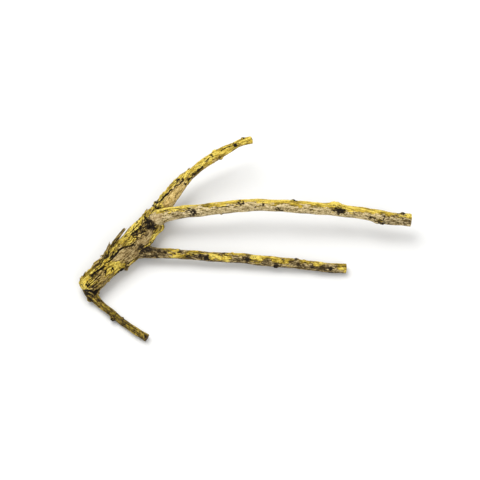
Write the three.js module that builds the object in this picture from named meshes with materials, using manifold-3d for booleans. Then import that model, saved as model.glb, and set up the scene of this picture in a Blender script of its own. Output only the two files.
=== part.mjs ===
// A fallen tree branch lying on the ground: a thick limb with split, flaking bark, broken off at
// both ends, and the four branches that grew from it. Millimetres, +Z up, ground at z = 0.
// +X runs from the limb's broken foot to the tips of the long branches.

import * as THREE from "three";
import Module from "manifold-3d";
import { mergeVertices } from "three/addons/utils/BufferGeometryUtils.js";

const wasm = await Module();
wasm.setup();

// Driving dimensions

const FORK_GAP = 0.3; // between two pieces that meet at a fork
const BARK_PLATE = 1.5; // thickness of the bark plates on the limb
const PLATE_EDGE = 0.35; // how softly a plate's edge falls, in units of the plate wave
const DOME_ROWS = 3; // rings in a rounded end
const DOME_FLAT = 28; // degrees of a rounded end's arc that its small flat takes

// Waves that run round and along a piece. Each has its crests round the piece, the millimetres
// along the grain of one turn, its phase in radians and its height.
const PLATE_WAVES = [
  [4, 58, 1.0, 1.0],
  [7, -41, 2.2, 1.0],
  [2, 23, 0.0, 0.8],
];
const LIMB_SWELL = [[3, 70, 0.4, 0.6]];
const BRANCH_WRINKLES = [
  [5, 47, 0.0, 0.25],
  [3, -29, 1.7, 0.25],
];

// Middle of the footprint and the lowest point, which become the part's origin.
const FOOTPRINT = new THREE.Vector3(8.18, 0.53, -0.5);

// Stations along each grown piece: x, y, z of its heart, and its diameter.
const LIMB = {
  stations: [
    [-183.5, -67, 11.55, 24.6],
    [-169.5, -51, 13.2, 25.0],
    [-153, -33.5, 14.6, 26.0],
    [-136, -16.6, 16.2, 30.0],
    [-122, -0.1, 16.8, 31.0],
    [-110.5, 18.2, 14.9, 28.6],
    [-101.5, 35.2, 13.4, 24.0],
    [-96, 44.6, 15.8, 21.0],
  ],
  around: 32,
  rows: 38,
  startDome: 5,
  endDome: 0,
};

const UPPER_BRANCH = {
  stations: [
    [-99, 39.8, 15.4, 18.6],
    [-91.5, 48.9, 18.6, 19.0],
    [-79, 64.5, 24.0, 17.8],
    [-71.5, 73.5, 26.0, 15.4],
    [-64.5, 81.5, 28.0, 12.4],
    [-54, 90.5, 30.5, 11.4],
    [-36, 103, 35.0, 11.8],
    [-21, 111.5, 38.5, 11.6],
    [-11, 116.8, 40.0, 9.2],
    [0, 122, 42.0, 8.6],
    [15.4, 125.8, 44.0, 9.4],
  ],
  around: 14,
  rows: 32,
  startDome: 0,
  endDome: 1.2,
};

const MIDDLE_BRANCH = {
  stations: [
    [-110, 19, 18.0, 16.5],
    [-99, 26, 23.0, 18.0],
    [-86, 29.2, 26.0, 16.0],
    [-65, 31.6, 28.5, 14.8],
    [-36, 33.4, 31.0, 14.4],
    [0, 36.5, 34.0, 14.8],
    [36, 36.8, 35.0, 14.0],
    [72, 34.7, 34.0, 14.8],
    [101, 33.2, 32.4, 14.4],
    [115, 32.6, 31.6, 16.0],
    [130, 30.8, 30.6, 14.0],
    [152, 28.0, 29.2, 14.4],
    [167, 24.7, 28.2, 15.8],
    [187, 22.3, 27.0, 14.6],
    [206, 20.8, 26.0, 15.4],
  ],
  around: 14,
  rows: 46,
  startDome: 0,
  endDome: 1.0,
};

const LOWER_BRANCH = {
  stations: [
    [-130, -7, 13.5, 15.0],
    [-120, -13, 13.4, 16.0],
    [-108, -16.2, 13.0, 12.8],
    [-72, -17.9, 12.4, 11.2],
    [-36, -21, 11.6, 11.0],
    [0, -22.8, 10.8, 11.6],
    [36, -26.2, 9.4, 12.0],
    [72, -29.2, 7.8, 11.2],
    [100, -32.8, 6.5, 11.4],
    [127.3, -33.9, 5.5, 11.2],
  ],
  around: 12,
  rows: 40,
  startDome: 0,
  endDome: 0.8,
};

const BASE_TWIG = {
  stations: [
    [-182, -58, 9.5, 15.6],
    [-177.5, -67.2, 8.4, 15.6],
    [-169.5, -75.5, 7.0, 11.6],
    [-163, -82.4, 6.2, 8.8],
    [-144, -98.6, 5.2, 8.0],
    [-126, -113, 4.8, 8.0],
    [-107.5, -125.5, 4.8, 8.8],
  ],
  around: 12,
  rows: 20,
  startDome: 2,
  endDome: 0,
};

// The limb's own broken stub, beside the fork.
const STUB = {
  stations: [
    [-125, -9, 13.0, 20.0],
    [-114, 5, 13.0, 17.0],
    [-103, 15.6, 13.0, 14.0],
    [-93, 21.8, 13.4, 12.4],
  ],
  around: 16,
  rows: 12,
  startDome: 3,
  endDome: 5,
};

// Splinters of bark that stand off the limb: stations as above.
const SPLINTERS = [
  [
    [-156, -19, 19.5, 5.0],
    [-148, -6.4, 24.0, 4.4],
    [-138.5, 7.8, 26.6, 3.0],
  ],
  [
    [-160, -28, 20.0, 5.0],
    [-155, -16.5, 24.0, 2.4],
    [-153.6, -12.4, 25.0, 1.6],
  ],
  [
    [-136, -19, 8.0, 8.0],
    [-134, -28, 8.0, 5.4],
    [-132.5, -32.0, 8.4, 3.4],
  ],
];

// Knots and buds: distance along the piece from its first station, degrees round from the top
// towards the right-hand side, diameter, and how far it stands out of the bark.
const KNOTS = {
  upper: [
    [42, -62, 7.0, 1.6],
    [31, -72, 5.0, 1.2],
    [101, -58, 6.5, 1.5],
    [109, 112, 6.0, 1.4],
    [138, -62, 3.6, 1.6],
  ],
  middle: [
    [64, 64, 8.0, 0.9],
    [91, 118, 3.4, 1.4],
    [114, 8, 6.0, 1.0],
    [178, -56, 5.0, 1.8],
    [226, -56, 13.0, 1.8],
    [232, 40, 7.5, 0.9],
    [281, 112, 8.0, 1.6],
    [287, 124, 5.0, 1.6],
    [310, -48, 5.0, 1.8],
  ],
  lower: [
    [58, -52, 5.0, 0.9],
    [123, -58, 4.0, 1.4],
    [176, 108, 6.0, 1.7],
    [200, -56, 5.0, 1.6],
    [209, -60, 4.4, 1.0],
    [243, 60, 5.5, 0.8],
  ],
  twig: [
    [17, 96, 7.0, 3.4],
    [54, 96, 6.6, 4.2],
    [63, -64, 2.8, 1.4],
  ],
  limb: [
    [8, 118, 6.0, 2.4],
    [62, 175, 9.0, 1.0],
    [126, 180, 12.0, 1.35],
  ],
};

// Shapes

// Catmull-Rom value of a list of numbers at a place t between 0 and 1.
function through(values, t) {
  const last = values.length - 1;
  const i = Math.min(Math.floor(t * last), last - 1);
  const u = t * last - i;
  const [b, c] = [values[i], values[i + 1]];
  const a = i > 0 ? values[i - 1] : 2 * b - c;
  const d = i < last - 1 ? values[i + 2] : 2 * c - b;
  const square = 2 * a - 5 * b + 4 * c - d;
  const cube = 3 * b - a - 3 * c + d;
  return 0.5 * (2 * b + (c - a) * u + square * u ** 2 + cube * u ** 3);
}

// The line of a piece's heart, with its length, its girth and a frame at any distance along it.
// The frame has ahead along the grain, up as near to +Z as it goes, and side = ahead x up.
function heartLine(stations) {
  const curve = new THREE.CatmullRomCurve3(
    stations.map(([x, y, z]) => new THREE.Vector3(x, y, z)),
    false,
    "catmullrom",
    0.5,
  );
  const diameters = stations.map((station) => station[3]);
  const length = curve.getLength();
  const at = (along) => {
    const t = curve.getUtoTmapping(THREE.MathUtils.clamp(along / length, 0, 1));
    const ahead = curve.getTangent(t);
    const up = new THREE.Vector3(0, 0, 1).addScaledVector(ahead, -ahead.z).normalize();
    const side = new THREE.Vector3().crossVectors(ahead, up);
    return { heart: curve.getPoint(t), ahead, up, side, radius: through(diameters, t) / 2 };
  };
  return { length, at };
}

// Rings of a swept body: where each lies along the grain, and how far a domed end draws it in.
// A dome is half an ellipse, which starts from a small flat at its tip.
function ringPlaces(length, rows, startDome, endDome) {
  const dome = (reach, share) => {
    const turn = THREE.MathUtils.degToRad(THREE.MathUtils.lerp(DOME_FLAT, 90, share));
    return { inset: reach * (1 - Math.cos(turn)), shrink: Math.sin(turn) };
  };
  const before = startDome > 0 ? DOME_ROWS : 0;
  const after = endDome > 0 ? DOME_ROWS : 0;
  return Array.from({ length: rows + 1 }, (_, row) => {
    if (row < before) {
      const { inset, shrink } = dome(startDome, row / DOME_ROWS);
      return { along: inset, shrink };
    }
    if (rows - row < after) {
      const { inset, shrink } = dome(endDome, (rows - row) / DOME_ROWS);
      return { along: length - inset, shrink };
    }
    const share = (row - before) / (rows - after - before);
    return { along: THREE.MathUtils.lerp(startDome, length - endDome, share), shrink: 1 };
  });
}

function waveSum(waves, along, turn) {
  const wave = ([around, pitch, phase, height]) =>
    height * Math.cos(around * turn + (2 * Math.PI * along) / pitch + phase);
  return waves.reduce((sum, one) => sum + wave(one), 0);
}

// Bark that has split into long plates: a plate is a plateau where the waves sum above zero.
function plateRelief(along, turn) {
  const wave = waveSum(PLATE_WAVES, along, turn);
  const plateau = THREE.MathUtils.smoothstep(wave, -PLATE_EDGE, PLATE_EDGE) - 0.5;
  return BARK_PLATE * plateau + waveSum(LIMB_SWELL, along, turn);
}

// The thin bark of a branch: shallow wrinkles along the grain.
function wrinkleRelief(along, turn) {
  return waveSum(BRANCH_WRINKLES, along, turn);
}

// A body swept along its heart line. Its radius is the girth there plus the bark's relief, and
// grow moves the whole surface outwards.
function sweptBody({ stations, around, rows, startDome, endDome }, relief, grow = 0) {
  const line = heartLine(stations);
  const places = ringPlaces(line.length, rows, startDome, endDome);
  const geometry = new THREE.CylinderGeometry(1, 1, 1, around, rows);
  const position = geometry.getAttribute("position");
  for (let i = 0; i < position.count; i++) {
    const row = Math.round((position.getY(i) + 0.5) * rows);
    const turn = Math.atan2(position.getX(i), position.getZ(i));
    const reach = Math.hypot(position.getX(i), position.getZ(i)) > 0.5 ? 1 : 0;
    const { along, shrink } = places[row];
    const { heart, ahead, up, side, radius } = line.at(along);
    const bark = relief(along, turn);
    const out = reach * ((radius + bark) * shrink + grow);
    const past = row === 0 ? -grow : row === rows ? grow : 0;
    const point = heart
      .addScaledVector(up, out * Math.cos(turn))
      .addScaledVector(side, out * Math.sin(turn))
      .addScaledVector(ahead, past);
    position.setXYZ(i, point.x, point.y, point.z);
  }
  return geometry;
}

// A knot: a small lumpy ball sunk in the bark until only its height shows.
function knot({ stations }, [along, degrees, across, height], grow = 0) {
  const { heart, up, side, radius } = heartLine(stations).at(along);
  const turn = THREE.MathUtils.degToRad(degrees);
  const out = up.multiplyScalar(Math.cos(turn)).addScaledVector(side, Math.sin(turn));
  const ball = new THREE.IcosahedronGeometry(across / 2 + grow, 1);
  return ball.translate(...heart.addScaledVector(out, radius + height - across / 2).toArray());
}

// Joining and cutting

function solidOf(geometry) {
  const bare = geometry.clone();
  bare.deleteAttribute("normal");
  bare.deleteAttribute("uv");
  const merged = mergeVertices(bare, 1e-4);
  return new wasm.Manifold(
    new wasm.Mesh({
      numProp: 3,
      vertProperties: merged.getAttribute("position").array,
      triVerts: new Uint32Array(merged.index.array),
    }),
  );
}

function geometryOf(solid) {
  const { vertProperties, triVerts } = solid.getMesh();
  const geometry = new THREE.BufferGeometry();
  geometry.setAttribute("position", new THREE.BufferAttribute(vertProperties, 3));
  geometry.setIndex(new THREE.BufferAttribute(triVerts, 1));
  geometry.computeVertexNormals();
  return geometry;
}

function grownPiece(plan, relief, knots, grow = 0) {
  return knots.reduce(
    (solid, one) => solid.add(solidOf(knot(plan, one, grow))),
    solidOf(sweptBody(plan, relief, grow)),
  );
}

function splinter(stations, grow) {
  const plan = { stations, around: 8, rows: 5, startDome: 0, endDome: 0 };
  return solidOf(sweptBody(plan, () => 0, grow));
}

function limbSolid(grow = 0) {
  const trunk = grownPiece(LIMB, plateRelief, KNOTS.limb, grow);
  const stub = solidOf(sweptBody(STUB, wrinkleRelief, grow));
  return SPLINTERS.reduce((solid, one) => solid.add(splinter(one, grow)), trunk.add(stub));
}

// The whole branch: each branch is cut back to where it leaves the limb and its neighbours.
function fallenBranch() {
  const limb = limbSolid();
  const limbRoom = limbSolid(FORK_GAP);
  const middle = grownPiece(MIDDLE_BRANCH, wrinkleRelief, KNOTS.middle).subtract(limbRoom);
  const middleRoom = grownPiece(MIDDLE_BRANCH, wrinkleRelief, KNOTS.middle, FORK_GAP);
  const upper = grownPiece(UPPER_BRANCH, wrinkleRelief, KNOTS.upper)
    .subtract(limbRoom)
    .subtract(middleRoom);
  const lower = grownPiece(LOWER_BRANCH, wrinkleRelief, KNOTS.lower).subtract(limbRoom);
  const twig = grownPiece(BASE_TWIG, wrinkleRelief, KNOTS.twig).subtract(limbRoom);
  return { limb, upper, middle, lower, twig };
}

// Small scraps that a cut leaves loose are dropped: the largest body is the branch.
function largestBody(solid) {
  return solid.decompose().reduce((best, body) => (body.volume() > best.volume() ? body : best));
}

function bark(colour) {
  return new THREE.MeshStandardMaterial({ color: colour, roughness: 0.9, metalness: 0 });
}

const FINISHES = {
  limb: ["limb", bark(0xb39a45)],
  upper: ["upper_branch", bark(0xc2a548)],
  middle: ["middle_branch", bark(0xb3a267)],
  lower: ["lower_branch", bark(0x7d6a33)],
  twig: ["base_twig", bark(0x6d5b22)],
};

const branch = new THREE.Group();
for (const [key, solid] of Object.entries(fallenBranch())) {
  const [name, material] = FINISHES[key];
  const mesh = new THREE.Mesh(geometryOf(largestBody(solid)), material);
  mesh.name = name;
  mesh.position.copy(FOOTPRINT).negate();
  branch.add(mesh);
}

export default branch;
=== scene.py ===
# %% [markdown]
# This notebook dresses a fallen tree branch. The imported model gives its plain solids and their
# size, and each of them is replaced here by a skin of real bark: split plates, bare wood, cracks,
# knots and a crust of yellow lichen. Everything is worked out with numpy, in the same place as
# the solids.

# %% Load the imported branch
import math
from itertools import product
from types import SimpleNamespace

import bpy
import numpy as np
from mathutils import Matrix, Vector


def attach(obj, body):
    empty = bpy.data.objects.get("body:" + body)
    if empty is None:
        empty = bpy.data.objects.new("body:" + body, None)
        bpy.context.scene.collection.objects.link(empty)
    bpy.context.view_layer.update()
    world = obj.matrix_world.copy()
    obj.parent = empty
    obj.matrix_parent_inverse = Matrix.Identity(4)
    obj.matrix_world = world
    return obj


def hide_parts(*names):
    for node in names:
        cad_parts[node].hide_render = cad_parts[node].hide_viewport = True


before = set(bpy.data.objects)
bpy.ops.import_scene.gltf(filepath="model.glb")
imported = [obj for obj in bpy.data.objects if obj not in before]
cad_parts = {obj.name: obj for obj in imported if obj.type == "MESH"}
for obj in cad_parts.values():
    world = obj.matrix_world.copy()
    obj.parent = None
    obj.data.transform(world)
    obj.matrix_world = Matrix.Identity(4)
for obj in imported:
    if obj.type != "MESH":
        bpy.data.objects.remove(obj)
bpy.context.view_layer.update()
MM = 0.001  # the drawing is in millimetres, and Blender in metres
print("pieces of the packed branch:", sorted(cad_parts))

# %% [markdown]
# The camera stands where the photographer stood, well back and high in front of the branch. It
# comes first, because later cells ask where a spot in the photograph lies on the wood.

# %% Camera at the photograph's angle
FOOTPRINT = np.array([8.18, 0.53, -0.5])  # the part's origin, in the drawing's millimetres
PHOTO_SIZE = 480
LENS, SENSOR = 100.0, 36.0
DISTANCE = 1600.0
ELEVATION = math.radians(60)
TARGET = np.array([0.0, 0.0, 15.0])
TO_CAMERA = np.array([0.0, -math.cos(ELEVATION), math.sin(ELEVATION)])
PICTURE_UP = np.array([0.0, math.sin(ELEVATION), math.cos(ELEVATION)])

camera = bpy.data.objects.new("camera", bpy.data.cameras.new("camera"))
camera.data.lens = LENS
camera.data.sensor_width = SENSOR
camera.location = Vector((TARGET - FOOTPRINT + DISTANCE * TO_CAMERA) * MM)
camera.rotation_euler = Vector(-TO_CAMERA).to_track_quat("-Z", "Y").to_euler()
bpy.context.scene.collection.objects.link(camera)
bpy.context.scene.camera = camera


def pictured(points):
    """Pixel of the photograph at which a point of the drawing is seen: its sideways and upward
    distance from the target, divided by its depth and multiplied by the lens in pixels."""
    away = points - TARGET
    scale = PHOTO_SIZE * LENS / SENSOR / (DISTANCE - away @ TO_CAMERA)
    across = PHOTO_SIZE / 2 + scale * away[..., 0]
    down = PHOTO_SIZE / 2 - scale * (away @ PICTURE_UP)
    return np.stack([across, down], axis=-1)


print("the target is seen at pixel", pictured(TARGET))

# %% [markdown]
# Bark is random but never without a pattern. Two kinds of noise make all of it here: a soft cloud,
# for lumps and patches, and the gaps between crowded cells, for the fissures of split bark. Both
# are computed for all points at once, and read three coordinates, so they close round a branch
# without a seam.

# %% Noise on whole arrays
CLOUD_GAIN = 1.7  # brings a cloud's usual range to about -1 to 1
LAYER_SHIFT = 7.3  # keeps the layers of a cloud from lining up
RISER = 0.72  # a terrace is level up to this share of its width


def shuffled(cell, order):
    """A random but fixed number from 0 to 255 for each box of a grid of unit boxes."""
    x, y, z = np.moveaxis(cell & 255, -1, 0)
    return order[(order[(order[x] + y) & 255] + z) & 255]


def one_cloud(place, seed):
    """Gradient noise, from about -1 to 1. Each corner of a unit grid has a random slope, and a
    point takes the smoothly weighted mean of what the slopes at its cell's corners say there."""
    draw = np.random.default_rng(seed)
    order = draw.permutation(256)
    slopes = draw.normal(size=(256, 3))
    slopes /= np.linalg.norm(slopes, axis=1, keepdims=True)
    corner = np.floor(place).astype(int)
    part = place - corner
    ease = part**3 * (part * (part * 6 - 15) + 10)
    total = np.zeros(place.shape[:-1])
    for step in product((0, 1), repeat=3):
        slope = slopes[shuffled(corner + step, order)]
        weight = np.prod(np.where(step, ease, 1 - ease), axis=-1)
        total += weight * np.sum(slope * (part - step), axis=-1)
    return CLOUD_GAIN * total


def cloud(place, seed, layers=2):
    """Sum of clouds, each twice as fine and half as strong as the one before."""
    shifted = [place * 2**k + LAYER_SHIFT * k for k in range(layers)]
    return sum(one_cloud(shifted[k], seed + k) / 2**k for k in range(layers))


def cell_gap(place, seed):
    """How far a point is from the border of its cell. Each unit box holds one random point, and
    the value is the distance to the second nearest of them less that to the nearest."""
    draw = np.random.default_rng(seed)
    order = draw.permutation(256)
    jitter = draw.random((256, 3))
    corner = np.floor(place).astype(int)
    nearest = np.full(place.shape[:-1], np.inf)
    second = nearest.copy()
    for step in product((-1, 0, 1), repeat=3):
        seat = corner + step + jitter[shuffled(corner + step, order)]
        away = np.linalg.norm(seat - place, axis=-1)
        second = np.minimum(second, np.maximum(nearest, away))
        nearest = np.minimum(nearest, away)
    return second - nearest


def ramp(value, low, high):
    """0 below low, 1 above high, and a smooth step between them."""
    share = np.clip((value - low) / (high - low), 0, 1)
    return share * share * (3 - 2 * share)


def terraces(value, steps):
    """Rounds a value to steps with steep risers between them, as torn layers of bark lie."""
    level = np.floor(value * steps)
    return (level + ramp(value * steps - level, RISER, 1.0)) / steps


print("a cloud along a line:", cloud(np.linspace([0, 0, 0], [3, 2, 1], 6), 1).round(2))

# %% [markdown]
# A branch grows round a heart line. The stations below are the same as in the source of the
# solids: x, y, z and the diameter, in millimetres. A smooth curve runs through them, and each
# point of it has a frame of three directions: ahead along the grain, up, and to the side.

# %% Heart lines of the five pieces
PLANS = {
    "limb": [
        (-183.5, -67, 11.55, 24.6), (-169.5, -51, 13.2, 25.0), (-153, -33.5, 14.6, 26.0),
        (-136, -16.6, 16.2, 30.0), (-122, -0.1, 16.8, 31.0), (-110.5, 18.2, 14.9, 28.6),
        (-101.5, 35.2, 13.4, 24.0), (-96, 44.6, 15.8, 21.0),
    ],
    "upper_branch": [
        (-99, 39.8, 15.4, 18.6), (-91.5, 48.9, 18.6, 19.0), (-79, 64.5, 24.0, 17.8),
        (-71.5, 73.5, 26.0, 15.4), (-64.5, 81.5, 28.0, 12.4), (-54, 90.5, 30.5, 11.4),
        (-36, 103, 35.0, 11.8), (-21, 111.5, 38.5, 11.6), (-11, 116.8, 40.0, 9.2),
        (0, 122, 42.0, 8.6), (15.4, 125.8, 44.0, 9.4),
    ],
    "middle_branch": [
        (-110, 19, 18.0, 16.5), (-99, 26, 23.0, 18.0), (-86, 29.2, 26.0, 16.0),
        (-65, 31.6, 28.5, 14.8), (-36, 33.4, 31.0, 14.4), (0, 36.5, 34.0, 14.8),
        (36, 36.8, 35.0, 14.0), (72, 34.7, 34.0, 14.8), (101, 33.2, 32.4, 14.4),
        (115, 32.6, 31.6, 16.0), (130, 30.8, 30.6, 14.0), (152, 28.0, 29.2, 14.4),
        (167, 24.7, 28.2, 15.8), (187, 22.3, 27.0, 14.6), (206, 20.8, 26.0, 15.4),
    ],
    "lower_branch": [
        (-130, -7, 13.5, 15.0), (-120, -13, 13.4, 16.0), (-108, -16.2, 13.0, 12.8),
        (-72, -17.9, 12.4, 11.2), (-36, -21, 11.6, 11.0), (0, -22.8, 10.8, 11.6),
        (36, -26.2, 9.4, 12.0), (72, -29.2, 7.8, 11.2), (100, -32.8, 6.5, 11.4),
        (127.3, -33.9, 5.5, 11.2),
    ],
    "base_twig": [
        (-182, -58, 9.5, 15.6), (-177.5, -67.2, 8.4, 15.6), (-169.5, -75.5, 7.0, 11.6),
        (-163, -82.4, 6.2, 8.8), (-144, -98.6, 5.2, 8.0), (-126, -113, 4.8, 8.0),
        (-107.5, -125.5, 4.8, 8.8),
    ],
    "stub": [
        (-125, -9, 13.0, 20.0), (-114, 5, 13.0, 17.0), (-103, 15.6, 13.0, 14.0),
        (-92.6, 23.2, 14.2, 12.6),
    ],
}
CURVE_STEPS = 4000


def through(values, share):
    """Catmull-Rom curve through a list of rows: share runs from 0 at the first to 1 at the last."""
    values = np.asarray(values, float)
    last = len(values) - 1
    i = np.clip(np.floor(share * last).astype(int), 0, last - 1)
    u = (share * last - i)[:, None]
    padded = np.vstack([2 * values[0] - values[1], values, 2 * values[-1] - values[-2]])
    a, b, c, d = (padded[i + k] for k in range(4))
    lower_powers = 2 * b + (c - a) * u + (2 * a - 5 * b + 4 * c - d) * u**2
    return 0.5 * (lower_powers + (3 * b - a - 3 * c + d) * u**3)


def length_of(stations):
    """Length of the curve through the stations, in millimetres."""
    line = through(stations, np.linspace(0, 1, CURVE_STEPS))[:, :3]
    return np.linalg.norm(np.diff(line, axis=0), axis=1).sum()


def heart_frame(stations, along):
    """Heart, ahead, up, side and radius at distances along a piece. Up is +Z made square to
    ahead, and side = ahead x up."""
    share = np.linspace(0, 1, CURVE_STEPS)
    line = through(stations, share)[:, :3]
    travelled = np.append(0, np.cumsum(np.linalg.norm(np.diff(line, axis=0), axis=1)))
    place = np.interp(along, travelled, share)
    here = through(stations, place)
    nudge = 0.5 / CURVE_STEPS
    before = through(stations, np.maximum(place - nudge, 0))
    after = through(stations, np.minimum(place + nudge, 1))
    ahead = (after - before)[:, :3]
    ahead /= np.linalg.norm(ahead, axis=1, keepdims=True)
    up = np.array([0, 0, 1.0]) - ahead * ahead[:, 2:]
    up /= np.linalg.norm(up, axis=1, keepdims=True)
    return here[:, :3], ahead, up, np.cross(ahead, up), here[:, 3] / 2


print({name: f"{length_of(stations):.0f} mm" for name, stations in PLANS.items()})

# %% [markdown]
# The bare form is a tube with a grid of points: rings along the piece, and points round each
# ring. An end is a dome, where wood broke and weathered round, or a cut, where secateurs left a
# flat face. Bark is then added as a height, which moves each point straight out from the heart.

# %% The bare form of a grown piece
END_ROWS = 14

def end_rings(kind, reach):
    """Distance from the tip and shrink of the rings of an end, from its middle to its rim. A dome
    is a quarter of an ellipse, and a cut face is flat but for a slight crown."""
    share = np.arange(1, END_ROWS + 1) / END_ROWS
    if kind == "dome":
        return reach * (1 - np.cos(share * np.pi / 2)), np.sin(share * np.pi / 2)
    return reach * share**2, share


def ring_places(length, rows, start, end):
    """Distance along and shrink of each ring, and 1 for the rings within a cut face."""
    (first, first_shrink), (back, back_shrink) = end_rings(*start), end_rings(*end)
    middle = np.linspace(first[-1], length - back[-1], rows + 2)[1:-1]
    along = np.concatenate([first, middle, length - back[::-1]])
    shrink = np.concatenate([first_shrink, np.ones(rows), back_shrink[::-1]])
    face = np.zeros(len(along))
    face[:END_ROWS - 1] = start[0] == "cut"
    face[len(face) - END_ROWS + 1:] = end[0] == "cut"
    return along, shrink, face


def bare_form(name, rows, around, start, end):
    """point(s, a) = heart(s) + radius(s) * shrink(s) * (cos a * up(s) + sin a * side(s)). The
    grain holds each point's place in the wood as if the piece were straight."""
    stations = PLANS[name]
    length = length_of(stations)
    along, shrink, face = ring_places(length, rows, start, end)
    heart, ahead, up, side, radius = heart_frame(stations, along)
    turn = np.arange(around) / around * 2 * np.pi
    cosine, sine = np.cos(turn), np.sin(turn)
    out = cosine[:, None] * up[:, None] + sine[:, None] * side[:, None]
    reach = (radius * shrink)[:, None]
    base = heart[:, None] + reach[..., None] * out
    grain = np.stack([along[:, None] + 0 * turn, reach * cosine, reach * sine], axis=-1)
    return SimpleNamespace(
        name=name, length=length, along=along[:, None], turn=turn[None], shrink=shrink[:, None],
        face=face[:, None], radius=radius[:, None], ahead=ahead[:, None], out=out, base=base,
        grain=grain, tips=(heart[0], heart[-1]),
    )


def grown(form, along, across, seed, layers=2):
    """A cloud in the wood, with blotches of a size in mm along the grain and across it."""
    return cloud(form.grain / [along, across, across], seed, layers)


limb = bare_form("limb", rows=370, around=240, start=("dome", 5.0), end=("cut", 0.5))
print("limb grid:", limb.base.shape)

# %% [markdown]
# Cracks, patches and buds are put where the photograph shows them. A mark is a pixel, and the
# spot on the wood is the point of the bare form that faces the camera there. From then on the
# mark is a place in space, so it looks right from every side.

# %% Marks that the photograph shows
FACING = 0.08  # how squarely, at the least, a spot has to face the camera
# a knot's radius as a share of its width, and its dip's depth and radius as shares of the knot's
BUD_REACH, BUD_DIP, DIP_REACH = 0.62, 0.35, 0.28


def spot(form, pixel):
    """The point of a form that faces the camera and is seen nearest to a pixel."""
    miss = np.linalg.norm(pictured(form.base) - np.array(pixel), axis=-1)
    miss = np.where(form.out @ TO_CAMERA > FACING, miss, np.inf)
    return form.base.reshape(-1, 3)[miss.argmin()]


def from_spot(form, pixel):
    """Distance in mm of every point from the spot at a pixel."""
    return np.linalg.norm(form.base - spot(form, pixel), axis=-1)


def patches(form, marks, ragged=0.35, grit=3.0):
    """Sum over the marks (across, down, radius in mm, strength) of strength times a bell over
    the distance, which a cloud with blotches of the size of the grit makes ragged."""
    wobble = 1 + ragged * grown(form, 2.3 * grit, grit, 90, 3)
    total = np.zeros(form.base.shape[:2])
    for across, down, radius, strength in marks:
        away = from_spot(form, (across, down)) * wobble
        total += strength * np.exp(-((away / radius) ** 2))
    return total


def line_distance(points, corners):
    """Distance in mm from each point to the nearest straight run between the corners."""
    best = np.full(points.shape[:-1], np.inf)
    for a, b in zip(corners[:-1], corners[1:]):
        run = b - a
        share = np.clip((points - a) @ run / max(run @ run, 1e-9), 0, 1)
        best = np.minimum(best, np.linalg.norm(points - a - share[..., None] * run, axis=-1))
    return best


def cracks(form, lines):
    """Depth in mm of cracks: each is (width, depth, pixels), and its profile is a bell across the
    line, which wanders a little and opens and closes along it."""
    total = np.zeros(form.base.shape[:2])
    drift = 0.5 * grown(form, 5, 3, 71)
    opening = 0.9 + 0.4 * grown(form, 6, 6, 72)
    for width, depth, pixels in lines:
        away = line_distance(form.base, [spot(form, pixel) for pixel in pixels])
        profile = np.exp(-((np.maximum(away + drift, 0) / width) ** 2))
        total = np.maximum(total, depth * opening * profile)
    return total


def knots(form, places):
    """Bumps (along mm, degrees round from the top, width, height): each is a dome with a small
    dip in its middle, as a bud scar has."""
    total = np.zeros(form.base.shape[:2])
    for along, degrees, width, height in places:
        swing = (form.turn - math.radians(degrees) + np.pi) % (2 * np.pi) - np.pi
        away = np.hypot(form.along - along, form.radius * swing) / (BUD_REACH * width)
        dome = np.clip(1 - away**2, 0, 1) ** 1.5
        total += height * (dome - BUD_DIP * np.exp(-((away / DIP_REACH) ** 2)))
    return total


def box_mean(values, reach):
    """Mean of the surroundings of each point of a grid, by sums along its two directions."""
    for axis in (0, 1):
        steps = range(-reach, reach + 1)
        values = sum(np.roll(values, k, axis) for k in steps) / len(steps)
    return values


def hollowness(height, reach=4):
    """How far each point lies below the mean of its surroundings."""
    return box_mean(height, reach) - height


print("the limb's far crack starts at", spot(limb, (92, 275)).round(1))

# %% [markdown]
# The limb has lost much of its bark. What is left are plates about a millimetre and a half thick,
# torn in layers, with fissures along the grain and deep black cracks. Between them lies smooth,
# grey-tan wood, and a few plates are calmer than the rest. The marks for all that come first. Each
# is a pixel, a radius in millimetres and a strength, and a strength below zero takes away.

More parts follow.
